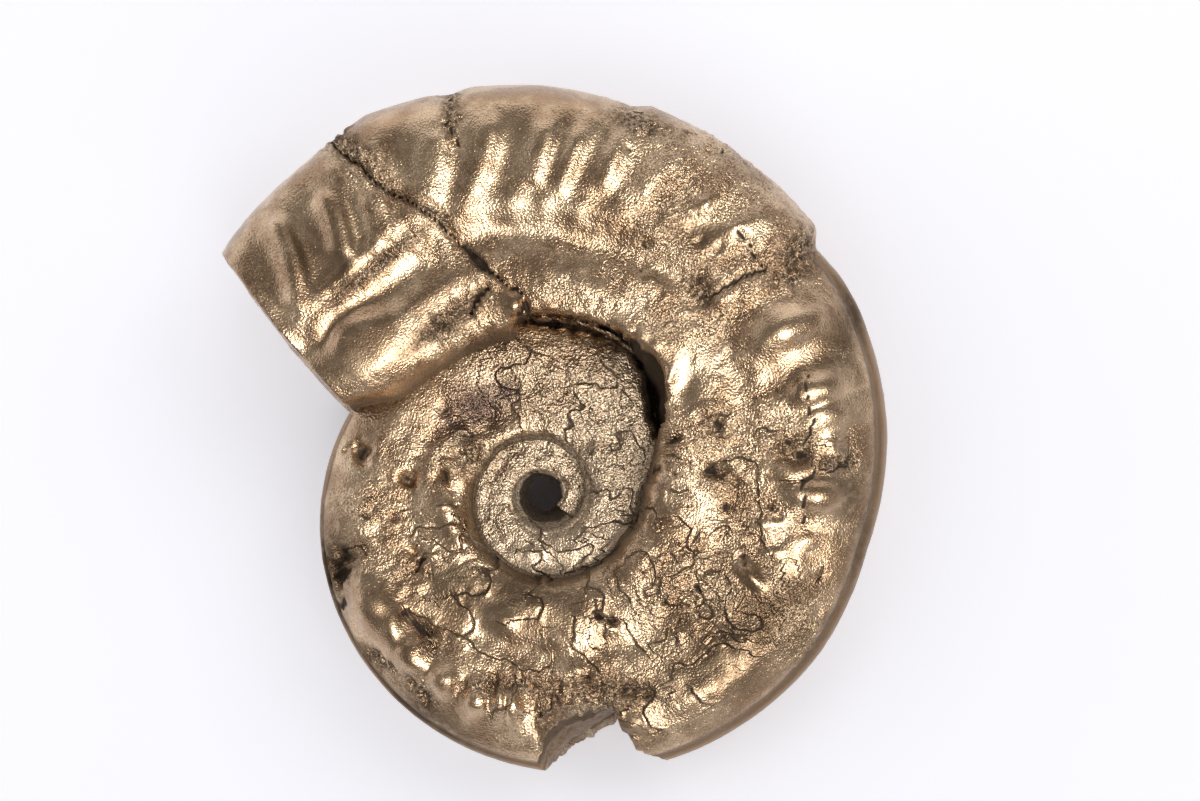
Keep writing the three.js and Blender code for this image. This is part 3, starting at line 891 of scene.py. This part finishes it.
def knob_field(pixels, upper):
    """Height of the knobs and hollows: the sum of an oval bell for each."""
    height = np.zeros(len(pixels))
    for x, y, length, width, turn, rise in KNOBS:
        near = near_line(pixels, [(x, y)], 2.5 * max(length, width))
        near = near[upper[near]]
        height[near] += KNOB_GAIN * rise * oval(pixels[near], x, y, length, width, turn)
    return height


def ridge_field(pixels, upper):
    """Height of the traced ridges: a bell across each crest, wider on one side, faded at both ends."""
    height = np.zeros(len(pixels))
    for rise, left, right, line in RIDGES:
        near = near_line(pixels, line, 40)
        near = near[upper[near]]
        gap, along = line_distance(pixels[near], line)
        last = len(line) - 1
        fade = smooth_step(0, 0.9, along) * smooth_step(0, 0.7, last - along)
        height[near] += rise * bell(gap / np.where(gap > 0, right, left)) * fade
    return height


def suture_step(gap, width, reach, share):
    """The shell's step at a suture line, as a share of the full step: an S across the line that fades with
    the distance from it."""
    return share * np.tanh(gap / width) * np.exp(-np.abs(gap) / reach)


def suture_field(pixels, angle, across, width, radius, upper, kept):
    """Signed distance in millimetres to the nearest suture line, and the height of the step at it. width is
    that of the whorl, and the lines of the family show only where kept."""
    distance = np.full(len(pixels), 1.0)
    step = np.zeros(len(pixels))
    for line in SUTURES:
        near = near_line(pixels, line, 20)
        near = near[upper[near]]
        gap, along = line_distance(pixels[near], line)
        gap *= MM_PER_PIXEL
        fade = smooth_step(0, 0.8, along) * smooth_step(0, 0.8, len(line) - 1 - along)
        own = suture_step(gap, *TRACED_STEP) * fade
        step[near] = np.where(np.abs(own) > np.abs(step[near]), own, step[near])
        closer = np.abs(gap) < np.abs(distance[near])
        distance[near] = np.where(closer, gap, distance[near])

    # The lines of one family: each runs across the whorl in lobes with small frills, a sum of sines. The
    # distance is how far off the line's angle a place is, over the steepness of that in a millimetre.
    lobes = sum(reach * np.sin(waves * across + start) for reach, waves, start in SUTURE_LOBES)
    slope = sum(reach * waves * np.cos(waves * across + start) for reach, waves, start in SUTURE_LOBES)
    phase = (angle - SUTURE_START - lobes) / SUTURE_SPACING
    off = (phase - np.round(phase)) * SUTURE_SPACING
    gap = off / np.hypot(1 / (radius * DEGREE), slope / width)
    first, last = SUTURE_PLACES
    inside = (across > first) & (across < last) & (angle > SUTURE_START) & (angle < SUTURE_LAST)
    clear = inside & (np.abs(distance) > SUTURE_CLEARANCE) & kept
    closer = clear & (np.abs(gap) < np.abs(distance))
    own = suture_step(gap, *FAMILY_STEP)
    step = np.where(clear & (np.abs(own) > np.abs(step) * FAMILY_STEP[2]), own, step)
    return np.where(closer, gap, distance), step


def crack_field(pixels, upper):
    """How open each place is, from 0 to 1 in the middle of a crack, and how deep it goes there."""
    opened = np.zeros(len(pixels))
    depth = np.zeros(len(pixels))
    for deep, line in CRACKS:
        plan = [(x, y) for x, y, _ in line]
        widths = np.array([w for _, _, w in line])
        near = near_line(pixels, plan, 20)
        near = near[upper[near]]
        gap, along = line_distance(pixels[near], plan)
        width = np.interp(along, np.arange(len(widths)), widths)
        own = smooth_step(*CRACK_SIDE, np.abs(gap) / width)
        opened[near] = np.maximum(opened[near], own)
        depth[near] = np.maximum(depth[near], deep * own)
    return opened, depth


def pit_field(pixels, upper):
    """How far each place lies in a pit, from 0 to 1 in its middle, and how deep it is there."""
    inside = np.zeros(len(pixels))
    depth = np.zeros(len(pixels))
    for x, y, radius, deep in PITS:
        near = near_line(pixels, [(x, y)], 3 * radius)
        near = near[upper[near]]
        gap = np.hypot(pixels[near, 0] - x, pixels[near, 1] - y) / radius
        own = np.exp(-(gap**3))
        inside[near] = np.maximum(inside[near], own)
        depth[near] = np.maximum(depth[near], deep * own)
    return inside, depth


def crevice_field(pixels, side):
    """How far each place lies in the dark gap beside the inner turn, from 0 to 1."""
    gap, along = line_distance(pixels, [(x, y) for x, y, _ in CREVICE])
    width = np.interp(along, np.arange(len(CREVICE)), [half for _, _, half in CREVICE])
    return np.where(side > 0, smooth_step(*CREVICE_SIDE, np.abs(gap) / width), 0)


def growth_angles():
    """Growth angles of all sections, and how many of them are the coarse ones of the inner turns."""
    starts = [start for start, _ in COARSE_STRETCHES] + [LAST_TURN_START]
    stretches = [
        np.linspace(start, end, round((end - start) / step), endpoint=False)
        for (start, step), end in zip(COARSE_STRETCHES, starts[1:])
    ]
    coarse = sum(len(stretch) for stretch in stretches)
    fine = np.linspace(LAST_TURN_START, COIL_END, round((COIL_END - LAST_TURN_START) / FINE_STEP) + 1)
    return np.concatenate([*stretches, fine]), coarse


def crust_field(pixels, points, upper, silk, inner, knobs, ridges):
    """How much of a crust of small crystals each place has, from 0 to 1: the listed stretches with noise on
    them, more of it on the inner turns, and less where silky or raised."""
    crust = np.where(upper, spots(pixels, CRUSTS, upper), UNDERSIDE_CRUST)
    crust = np.clip(crust * 1.25 + 0.35 * lattice_noise(points, CRUST_CELL, CRUST_SEED), 0, 1)
    crust = np.clip(crust - 1.1 * silk + 0.6 * inner, 0, 1)
    return crust * (1 - 0.75 * np.clip(knobs / 0.3, 0, 1)) * (1 - 0.6 * np.clip(ridges / 0.2, 0, 1))


def pressed(height):
    """Heights no lower than the table, pressed above TOP_START by a tanh curve that ends TOP_REACH higher."""
    height = np.maximum(height, 0)
    over = np.maximum(height - TOP_START, 0)
    return height + TOP_REACH * np.tanh(over / TOP_REACH) - over


def detailed_surface(sizes):
    """The tube of the coil with its relief, as points in the frame of the part, and what the finish needs
    to know at each point. Relief moves a point along its normal, and cracks and pits go straight down."""
    angles, coarse = growth_angles()
    coil = Coil(sizes)
    plan, *grids = coil_surface(coil, angles)
    placed = plan @ rest_matrix().T + REST_CENTRE
    normals = grid_normals(placed).reshape(-1, 3)
    shape = placed.shape[:2]
    flat = placed.reshape(-1, 3)
    angle, place, side, under, cut = (grid.ravel() for grid in grids)
    upper = (side > 0) & (under < UPPER_END)
    radius = np.hypot(plan[..., 0], plan[..., 1]).ravel()
    width = np.maximum(radius * (1 - coil.seam), 0.5)

    pixels = photo_pixels(flat)
    shift = np.stack([lattice_noise(flat, RAGGED_CELL, seed) for seed in RAGGED_SEEDS], axis=-1)
    ragged = pixels + RAGGED_PIXELS * shift
    silk = spots(pixels, SILKS, upper)
    grit = np.clip(1.4 * spots(ragged, GRITS, upper), 0, 1)
    ledge = spots(pixels, LEDGES, upper & (radius > LEDGE_RADIUS))
    inner = smooth_step(*INNER_END, angle)
    keeled = (angle > LAST_TURN_START) * (1 - smooth_step(*KEEL_END, angle))
    keel = smooth_step(*KEEL_EDGE, place) * keeled
    hole = ((under > HOLE_START) & (angle < FIRST_TURN_END)).astype(float)

    kept = (lattice_noise(flat, PATCH_CELL, LUMP_SEED) > KEPT_NOISE) & (silk < KEPT_SILK)
    suture, step = suture_field(ragged, angle, place, width, radius, upper, kept)
    crack, crack_depth = crack_field(ragged, upper)
    pit, pit_depth = pit_field(pixels + 2 * RAGGED_PIXELS * shift, upper)
    crevice = crevice_field(ragged, side)
    knobs = knob_field(pixels, upper)
    ridges = ridge_field(pixels, upper)
    crust = crust_field(pixels, flat, upper, silk, inner, knobs, ridges)
    silk = np.maximum(silk, np.clip(knobs / 0.25, 0, 1))

    wide, narrow = KNOLL_CELLS
    rough = lattice_noise(flat, wide, KNOLL_SEED) + 0.6 * lattice_noise(flat, narrow, CRUST_SEED)
    lumps = sum(
        height * lattice_noise(flat, cell, LUMP_SEED) for height, cell in zip(LUMP_HEIGHTS, LUMP_CELLS)
    )
    knolls = PLAIN_KNOLLS + LEDGE_KNOLLS * ledge + GRIT_KNOLLS * grit + CUT_KNOLLS * cut
    knolls = knolls + sizes.crust_height / MM * crust
    moved = lumps * (1 - 0.7 * silk) + knobs + ridges + knolls * rough - GRIT_DEPTH * grit
    moved = (moved + sizes.suture_step / MM * step) * (1 - KEEL_CALM * keel)
    flat = flat + moved[:, None] * normals
    flat[:, 2] -= np.maximum(crack_depth + pit_depth, CREVICE_DEPTH * crevice)
    flat[:, 2] = pressed(flat[:, 2])

    furrow_place, furrow_width = FURROW
    # The hollow fact is painted dark in the finish: painted shade in the cracks, pits, gap beside the inner
    # turn and wall of the centre hole.
    facts = {
        "suture": suture,
        "hollow": np.max([crack, pit * np.clip(0.8 + 0.5 * rough, 0, 1), crevice, hole], axis=0),
        "grit": np.clip(grit + 0.5 * cut, 0, 1),
        "seam": smooth_step(*SEAM_EDGE, place) * upper,
        "crust": crust,
        "silk": silk,
        "tarnish": spots(pixels, TARNISH, upper),
        "umber": spots(pixels, UMBERS, upper),
        "ledge": np.maximum(ledge, 0.6 * cut),
        "keel": keel,
        "furrow": bell((place - furrow_place) / furrow_width) * keeled,
        "inner": inner,
    }
    facts = {name: value.reshape(shape) for name, value in facts.items()}
    return flat.reshape(*shape, 3), facts, coarse


def ring_faces(first, second):
    """Quads between two closed rings of the same length, as rows of vertex numbers."""
    corners = [first, np.roll(first, -1, -1), np.roll(second, -1, -1), second]
    return np.stack(corners, axis=-1).reshape(-1, 4)


def stitch_faces(thin, full):
    """Triangles between a ring and one with twice as many points."""
    even, odd, after = full[::2], full[1::2], np.roll(full[::2], -1)
    following = np.roll(thin, -1)
    sides = [(thin, odd, even), (thin, following, odd), (following, after, odd)]
    return np.concatenate([np.stack(corners, axis=-1) for corners in sides])


def end_cap(ring, rings, outward, depth):
    """Points of a cap: rings that shrink to the middle of the end, standing out by the fracture's noise
    times depth along outward, and the middle point last."""
    middle = ring.mean(0)
    shares = np.linspace(0, 1, rings + 2)[1:-1, None, None]
    points = ring + (middle - ring) * shares
    rim_fade = smooth_step(0, 0.12, shares[..., 0])
    coarse, fine = (lattice_noise(points, cell, FRACTURE_SEED) for cell in FRACTURE_CELLS)
    points = points + outward * (depth * (coarse + 0.5 * fine) * rim_fade)[..., None]
    return np.concatenate([points.reshape(-1, 3), middle[None]])


def fossil_mesh(sizes):
    """One closed mesh: coarse sections of the inner turns, fine sections of the last turn and two end
    caps, joined ring by ring."""
    points, facts, coarse = detailed_surface(sizes)
    sections, rows = points.shape[:2]
    thin = points[:coarse, ::2].reshape(-1, 3)
    full = points[coarse:].reshape(-1, 3)
    thin_numbers = np.arange(len(thin)).reshape(coarse, -1)
    full_numbers = len(thin) + np.arange(len(full)).reshape(-1, rows)

    break_way = points[-1].mean(0) - points[-6].mean(0)
    break_way /= np.linalg.norm(break_way)
    start_cap = end_cap(points[0, ::2], START_RINGS, break_way, 0)
    broken_cap = end_cap(points[-1], BREAK_RINGS, break_way, FRACTURE_HEIGHT)
    start_numbers = len(thin) + len(full) + np.arange(len(start_cap))
    broken_numbers = start_numbers[-1] + 1 + np.arange(len(broken_cap))

    faces = [
        ring_faces(thin_numbers[:-1], thin_numbers[1:]).tolist(),
        ring_faces(full_numbers[:-1], full_numbers[1:]).tolist(),
        stitch_faces(thin_numbers[-1], full_numbers[0]).tolist(),
    ]
    for ring, cap, backward in (
        (thin_numbers[0], start_numbers, True),
        (full_numbers[-1], broken_numbers, False),
    ):
        rings = np.vstack([ring, cap[:-1].reshape(-1, len(ring))])
        last = rings[-1]
        tip = np.full(len(last), cap[-1])
        quads = ring_faces(rings[:-1], rings[1:])
        fan = np.stack([last, np.roll(last, -1), tip], axis=-1)
        faces += [(part[:, ::-1] if backward else part).tolist() for part in (quads, fan)]

    vertices = np.concatenate([thin, full, start_cap, broken_cap])
    mesh = bpy.data.meshes.new(PIECE)
    mesh.from_pydata((vertices * MM).tolist(), [], [face for part in faces for face in part])
    for name, value in facts.items():
        caps = np.full(len(start_cap) + len(broken_cap), CAP_FACTS.get(name, 0))
        values = np.concatenate([value[:coarse, ::2].ravel(), value[coarse:].ravel(), caps])
        layer = mesh.attributes.new(name, "FLOAT", "POINT")
        layer.data.foreach_set("value", values.astype(np.float32))
    mesh.shade_smooth()
    mesh.validate()
    mesh.update()
    return mesh


# The finish.


class Socket:
    """A node's output that can stand in a sum: + - * on it add Math nodes."""

    def __init__(self, tree, output):
        self.tree = tree
        self.output = output

    def math(self, operation, *values):
        """A Math node on this output and the values."""
        numbered = dict(enumerate([self, *values]))
        return self.tree.node("ShaderNodeMath", {"operation": operation}, numbered)

    def __add__(self, other):
        return self.math("ADD", other)

    def __radd__(self, other):
        return self.math("ADD", other)

    def __sub__(self, other):
        return self.math("SUBTRACT", other)

    def __rsub__(self, other):
        return self.tree.node("ShaderNodeMath", {"operation": "SUBTRACT"}, {0: other, 1: self})

    def __mul__(self, other):
        return self.math("MULTIPLY", other)

    def __rmul__(self, other):
        return self.math("MULTIPLY", other)

    def clamped(self):
        """The value, but not below 0 or above 1."""
        return self.math("MAXIMUM", 0).math("MINIMUM", 1)


class Tree:
    """A material's nodes. One method adds any of them."""

    def __init__(self, material):
        self.nodes = material.node_tree.nodes
        self.links = material.node_tree.links
        self.nodes.clear()

    def node(self, kind, settings=None, sockets=None, output=0):
        """Adds a node of a kind, makes its settings, fills its sockets with values or links, and gives one
        output."""
        node = self.nodes.new(kind)
        for name, value in (settings or {}).items():
            setattr(node, name, value)
        for key, value in (sockets or {}).items():
            if isinstance(value, Socket):
                self.links.new(value.output, node.inputs[key])
            else:
                node.inputs[key].default_value = value
        return Socket(self, node.outputs[output]) if node.outputs else None

    def fact(self, name):
        """One of the mesh's own attributes."""
        return self.node("ShaderNodeAttribute", {"attribute_name": name}, output="Fac")

    def step(self, value, low, high, start=0.0, end=1.0):
        """start below low, end above high, and an S between them."""
        sockets = {"Value": value, "From Min": low, "From Max": high, "To Min": start, "To Max": end}
        return self.node("ShaderNodeMapRange", {"interpolation_type": "SMOOTHSTEP"}, sockets)

    def noise(self, place, scale, detail, roughness=0.55):
        """Soft noise round 0.5 with scale features in a millimetre and detail layers of finer ones."""
        sockets = {"Vector": place, "Scale": scale, "Detail": detail, "Roughness": roughness}
        return self.node("ShaderNodeTexNoise", {}, sockets)

    def cells(self, place, scale):
        """Distance to the middle of the nearest cell, and a random number from 0 to 1 for that cell."""
        sockets = {"Vector": place, "Scale": scale}
        distance = self.node("ShaderNodeTexVoronoi", {}, sockets, "Distance")
        tint = self.node("ShaderNodeTexVoronoi", {}, sockets, "Color")
        return distance, self.node("ShaderNodeSeparateColor", {}, {0: tint})

    def mix(self, share, one, other):
        """A colour that goes from one to other as share goes from 0 to 1."""
        return self.node("ShaderNodeMix", {"data_type": "RGBA"}, {0: share, 6: one, 7: other}, 2)


def colour(value):
    """A colour with full alpha."""
    return (*value, 1.0)


def pyrite_material(finish):
    """Pyrite: metal with a crust of fine crystals, dark suture lines, painted shade in hollows, cracks, pits
    and between crystals, and brown tarnish in clouds that is partly painted shade.
    Lengths are in millimetres."""
    material = bpy.data.materials.new("pyrite")
    material.use_nodes = True
    tree = Tree(material)
    place = tree.node("ShaderNodeTexCoord", output="Object")
    place = tree.node("ShaderNodeVectorMath", {"operation": "SCALE"}, {0: place, "Scale": 1 / MM})

    suture, hollow, furrow, ledge, seam = map(tree.fact, ("suture", "hollow", "furrow", "ledge", "seam"))
    crust, silk, grit, inner, keel = map(tree.fact, ("crust", "silk", "grit", "inner", "keel"))
    tarnish, umber = map(tree.fact, ("tarnish", "umber"))

    # Suture lines: frilled, of changing width and broken here and there, with a step beside each.
    frills = (tree.noise(place, CRYSTAL_SCALE, 3.0) - 0.5) * 0.2
    away = (suture + frills).math("ABSOLUTE")
    breaks = tree.step(tree.noise(place, BREAK_SCALE, 1.0), 0.36, 0.46)
    line = tree.step(away - tree.noise(place, LINE_WIDTH_SCALE, 1.0) * 0.08, 0.04, 0.0) * breaks
    step = tree.step(suture + frills, -0.04, 0.04, -1.0, 1.0) * tree.step(away, 0.3, 0.02)

    # Patterns of the metal.
    clouds = tree.noise(place, CLOUD_SCALE, 4.0, 0.6)
    patches = tree.noise(place, PATCH_SCALE, 3.0, 0.6)
    grains = tree.noise(place, GRAIN_SCALE, 1.0, 0.6)
    crystals = tree.noise(place, CRYSTAL_SCALE, 3.0, 0.7)
    dust = tree.noise(place, DUST_SCALE, 2.0, 0.7)
    cell, facet = tree.cells(place, CELL_SCALE)
    pores, picked = tree.cells(place, PORE_SCALE)
    pore = tree.step(pores, 0.2, 0.06) * tree.step(picked, 0.55, 0.65) * (0.35 + crust * 0.65)
    sparkle = ((crust * crust + 0.45) * (1 - silk * 0.55) + grit + seam * 0.3).clamped() * (1 - keel * 0.8)
    # The specks darken the low places between the grains: painted shade in the hollows between crystals.
    speck_shade = tree.step(grains, 0.5, 0.38) * sparkle
    loose = tree.step(crystals, 0.53, 0.44) * grit
    # dark marks the suture lines and the grey ledge, darkens the seams, and is painted shade in the cracks,
    # pits, gap, centre hole, pores, furrow by the keel and between loose crystals.
    dark = line * 0.75 + tree.step(hollow, 0.3, 0.8) + pore * 0.8 + ledge * 0.35 + furrow * 0.5
    dark = dark.clamped().math("MAXIMUM", loose * 0.9).math("MAXIMUM", seam * 0.55)
    # The brown of the umber stretches, the keel and the seams: partly a bloom on the metal and partly painted
    # shade, as on the dark shoulder at the lower right.
    bloom_and_shade = umber * tree.step(patches, 0.3, 0.6, 0.45, 0.9) + keel * 0.35
    bloom_and_shade = bloom_and_shade.math("MAXIMUM", seam * 0.6)

    gold = tree.mix(tree.step(clouds, 0.38, 0.62), colour(finish.brown), colour(finish.bright))
    gold = tree.mix((silk * 0.4 + keel * 0.8).clamped(), gold, colour(finish.brown))
    gold = tree.mix(bloom_and_shade, gold, colour(BLOOM_AND_SHADE))
    gold = tree.mix(inner * 0.75, gold, colour(finish.dull))
    gold = tree.mix(speck_shade * 0.62, gold, colour(SPECK_SHADE))
    gold = tree.mix(tarnish * 0.9, gold, colour(INFILL))
    gold = tree.mix(dark * 0.92, gold, colour(finish.dirt_and_shade))

    roughness = finish.roughness + bloom_and_shade * 0.14 + inner * 0.1 + dark * 0.35 + dust * 0.05 + seam * 0.1
    roughness = roughness + tree.step(patches, 0.4, 0.7) * 0.06 - silk * 0.03
    metallic = 1 - dark * 0.75 - ledge * 0.2

    height = grains * GRAIN_HEIGHT * sparkle + dust * DUST_HEIGHT
    height = height + (facet * FACET_HEIGHT - cell * CELL_DEPTH) * sparkle * crust
    height = height + crystals * (grit * LOOSE_HEIGHT + crust * CRYSTAL_HEIGHT)
    height = height - line * LINE_DEPTH + step * STEP_HEIGHT - pore * PORE_DEPTH
    bump = tree.node("ShaderNodeBump", {}, {"Strength": 1.0, "Distance": MM, "Height": height})

    sockets = {"Base Color": gold, "Roughness": roughness, "Metallic": metallic, "Normal": bump}
    sockets["Specular IOR Level"] = 0.15
    surface = tree.node("ShaderNodeBsdfPrincipled", {}, sockets)
    tree.node("ShaderNodeOutputMaterial", {}, {"Surface": surface})
    return material


# The stage.


def table_material(settings):
    """A pale table that glows faintly, as if lit from all round, except under the fossil."""
    material = bpy.data.materials.new("pale_table")
    material.use_nodes = True
    tree = Tree(material)
    place = tree.node("ShaderNodeTexCoord", output="Object")
    away = tree.node("ShaderNodeVectorMath", {"operation": "LENGTH"}, {0: place}, "Value")
    share = tree.step(away, 8 * MM, 14 * MM)
    sockets = {
        "Base Color": colour(settings.floor_colour),
        "Roughness": 0.7,
        "Specular IOR Level": 0.2,
        "Emission Color": tree.mix(share, (0, 0, 0, 1), colour(settings.floor_colour)),
        "Emission Strength": settings.floor_glow,
    }
    surface = tree.node("ShaderNodeBsdfPrincipled", {}, sockets)
    tree.node("ShaderNodeOutputMaterial", {}, {"Surface": surface})
    return material


def soft_light(name, power, size, place, tint=(1, 1, 1), gloss=True, shade=True):
    """A soft light at a place in metres, facing the fossil. Without gloss it doesn't show in the metal, and
    without shade it lights nothing but the metal."""
    data = bpy.data.lights.new(name, "AREA")
    data.energy = power
    data.shape = "RECTANGLE"
    data.size, data.size_y = size
    data.color = tint
    light = bpy.data.objects.new(name, data)
    light.location = place
    light.rotation_euler = (-Vector(place)).to_track_quat("-Z", "Y").to_euler()
    light.visible_glossy = gloss
    light.visible_diffuse = shade
    bpy.context.scene.collection.objects.link(light)


def from_above(off_vertical, turn, distance):
    """A place at a distance, off_vertical degrees from straight above, turned from +X."""
    tilt, turn = off_vertical * DEGREE, turn * DEGREE
    away = (math.sin(tilt) * math.cos(turn), math.sin(tilt) * math.sin(turn), math.cos(tilt))
    return tuple(distance * part for part in away)


class MakeAmmonite(bpy.types.Operator):
    """Makes the ammonite as one closed mesh with its pyrite finish"""

    bl_idname = "pyrite_ammonite.ammonite"
    bl_label = "Ammonite"

    def execute(self, context):
        mesh = fossil_mesh(context.scene.fossil_sizes)
        mesh.materials.append(pyrite_material(context.scene.pyrite_finish))
        piece = bpy.data.objects.new(PIECE + "_fossil", mesh)
        context.scene.collection.objects.link(piece)
        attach(piece, "root")
        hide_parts(PIECE)
        return {"FINISHED"}


class MakeStage(bpy.types.Operator):
    """Makes the pale table, the soft lights and the camera"""

    bl_idname = "pyrite_ammonite.stage"
    bl_label = "Table, lights and camera"

    def execute(self, context):
        settings = context.scene.stage_settings
        half = settings.floor_size / 2
        corners = [(-half, -half, 0), (half, -half, 0), (half, half, 0), (-half, half, 0)]
        mesh = bpy.data.meshes.new("table")
        mesh.from_pydata(corners, [], [(0, 1, 2, 3)])
        mesh.materials.append(table_material(settings))
        table = bpy.data.objects.new("table", mesh)
        context.scene.collection.objects.link(table)

        key = from_above(36, -42, 0.42)
        halo = from_above(30, -42, 0.55)
        soft_light("main_light", settings.key_power, (0.22, 0.22), key, (1.0, 0.985, 0.96), shade=False)
        soft_light("main_glow", settings.glow_power, (0.75, 0.75), halo, (1.0, 0.97, 0.93), shade=False)
        for turn in (60, 180, 300):
            around = from_above(42, turn, 0.6)
            soft_light(f"table_light_{turn}", settings.table_power / 3, (0.5, 0.5), around, gloss=False)
        shadow = from_above(48, 25, 0.6)
        soft_light("shadow_light", settings.shadow_power, (0.3, 0.3), shadow, (1.0, 1.0, 0.97), gloss=False)
        left, far = from_above(77, 168, 0.6), from_above(76, 95, 0.6)
        soft_light("left_card", settings.fill_power / 2, (0.5, 0.26), left, (0.93, 0.93, 1.0))
        soft_light("far_card", settings.fill_power, (0.9, 0.26), far, (0.95, 0.95, 1.0))

        world = bpy.data.worlds.new("room")
        world.use_nodes = True
        background = world.node_tree.nodes["Background"]
        background.inputs["Color"].default_value = (1.0, 0.97, 0.94, 1)
        background.inputs["Strength"].default_value = settings.sky
        context.scene.world = world
        context.scene.view_settings.view_transform = "Standard"
        context.scene.view_settings.look = "None"
        context.scene.view_settings.exposure = 0.1

        right, up, back, middle = (Vector(axis) for axis in view_axes())
        data = bpy.data.cameras.new("camera")
        data.lens = SENSOR * VIEW_DISTANCE / (PHOTO_WIDTH * MM_PER_PIXEL)
        data.sensor_width = SENSOR
        data.clip_start = 0.01
        camera = bpy.data.objects.new("camera", data)
        turned = Matrix((right, up, back)).transposed().to_4x4()
        turned.translation = (middle + back * VIEW_DISTANCE) * MM
        camera.matrix_world = turned
        context.scene.collection.objects.link(camera)
        context.scene.camera = camera
        return {"FINISHED"}


class AmmonitePanel(bpy.types.Panel):
    """Lists the sizes and the finish, with a button for each operator"""

    bl_idname = "VIEW3D_PT_pyrite_ammonite"
    bl_label = "Pyrite Ammonite"
    bl_space_type = "VIEW_3D"
    bl_region_type = "UI"
    bl_category = "Ammonite"

    def draw(self, context):
        for owner, operator in PANEL_ROWS:
            settings = getattr(context.scene, owner)
            for name in settings.bl_rna.properties.keys():
                if name not in ("rna_type", "name"):
                    self.layout.prop(settings, name)
            if operator:
                self.layout.operator(operator.bl_idname)


SETTINGS = {"fossil_sizes": FossilSizes, "pyrite_finish": PyriteFinish, "stage_settings": StageSettings}
PANEL_ROWS = [("fossil_sizes", None), ("pyrite_finish", MakeAmmonite), ("stage_settings", MakeStage)]
CLASSES = [*SETTINGS.values(), MakeAmmonite, MakeStage, AmmonitePanel]


def register():
    """Tells Blender about the classes, and hangs the settings on the scene."""
    for kind in CLASSES:
        bpy.utils.register_class(kind)
    for name, kind in SETTINGS.items():
        setattr(bpy.types.Scene, name, bpy.props.PointerProperty(type=kind))


def unregister():
    """Undoes register."""
    for name in SETTINGS:
        delattr(bpy.types.Scene, name)
    for kind in reversed(CLASSES):
        bpy.utils.unregister_class(kind)


def main():
    """Makes the fossil and the stage."""
    register()
    bpy.ops.pyrite_ammonite.ammonite()
    bpy.ops.pyrite_ammonite.stage()


if __name__ == "__main__":
    main()
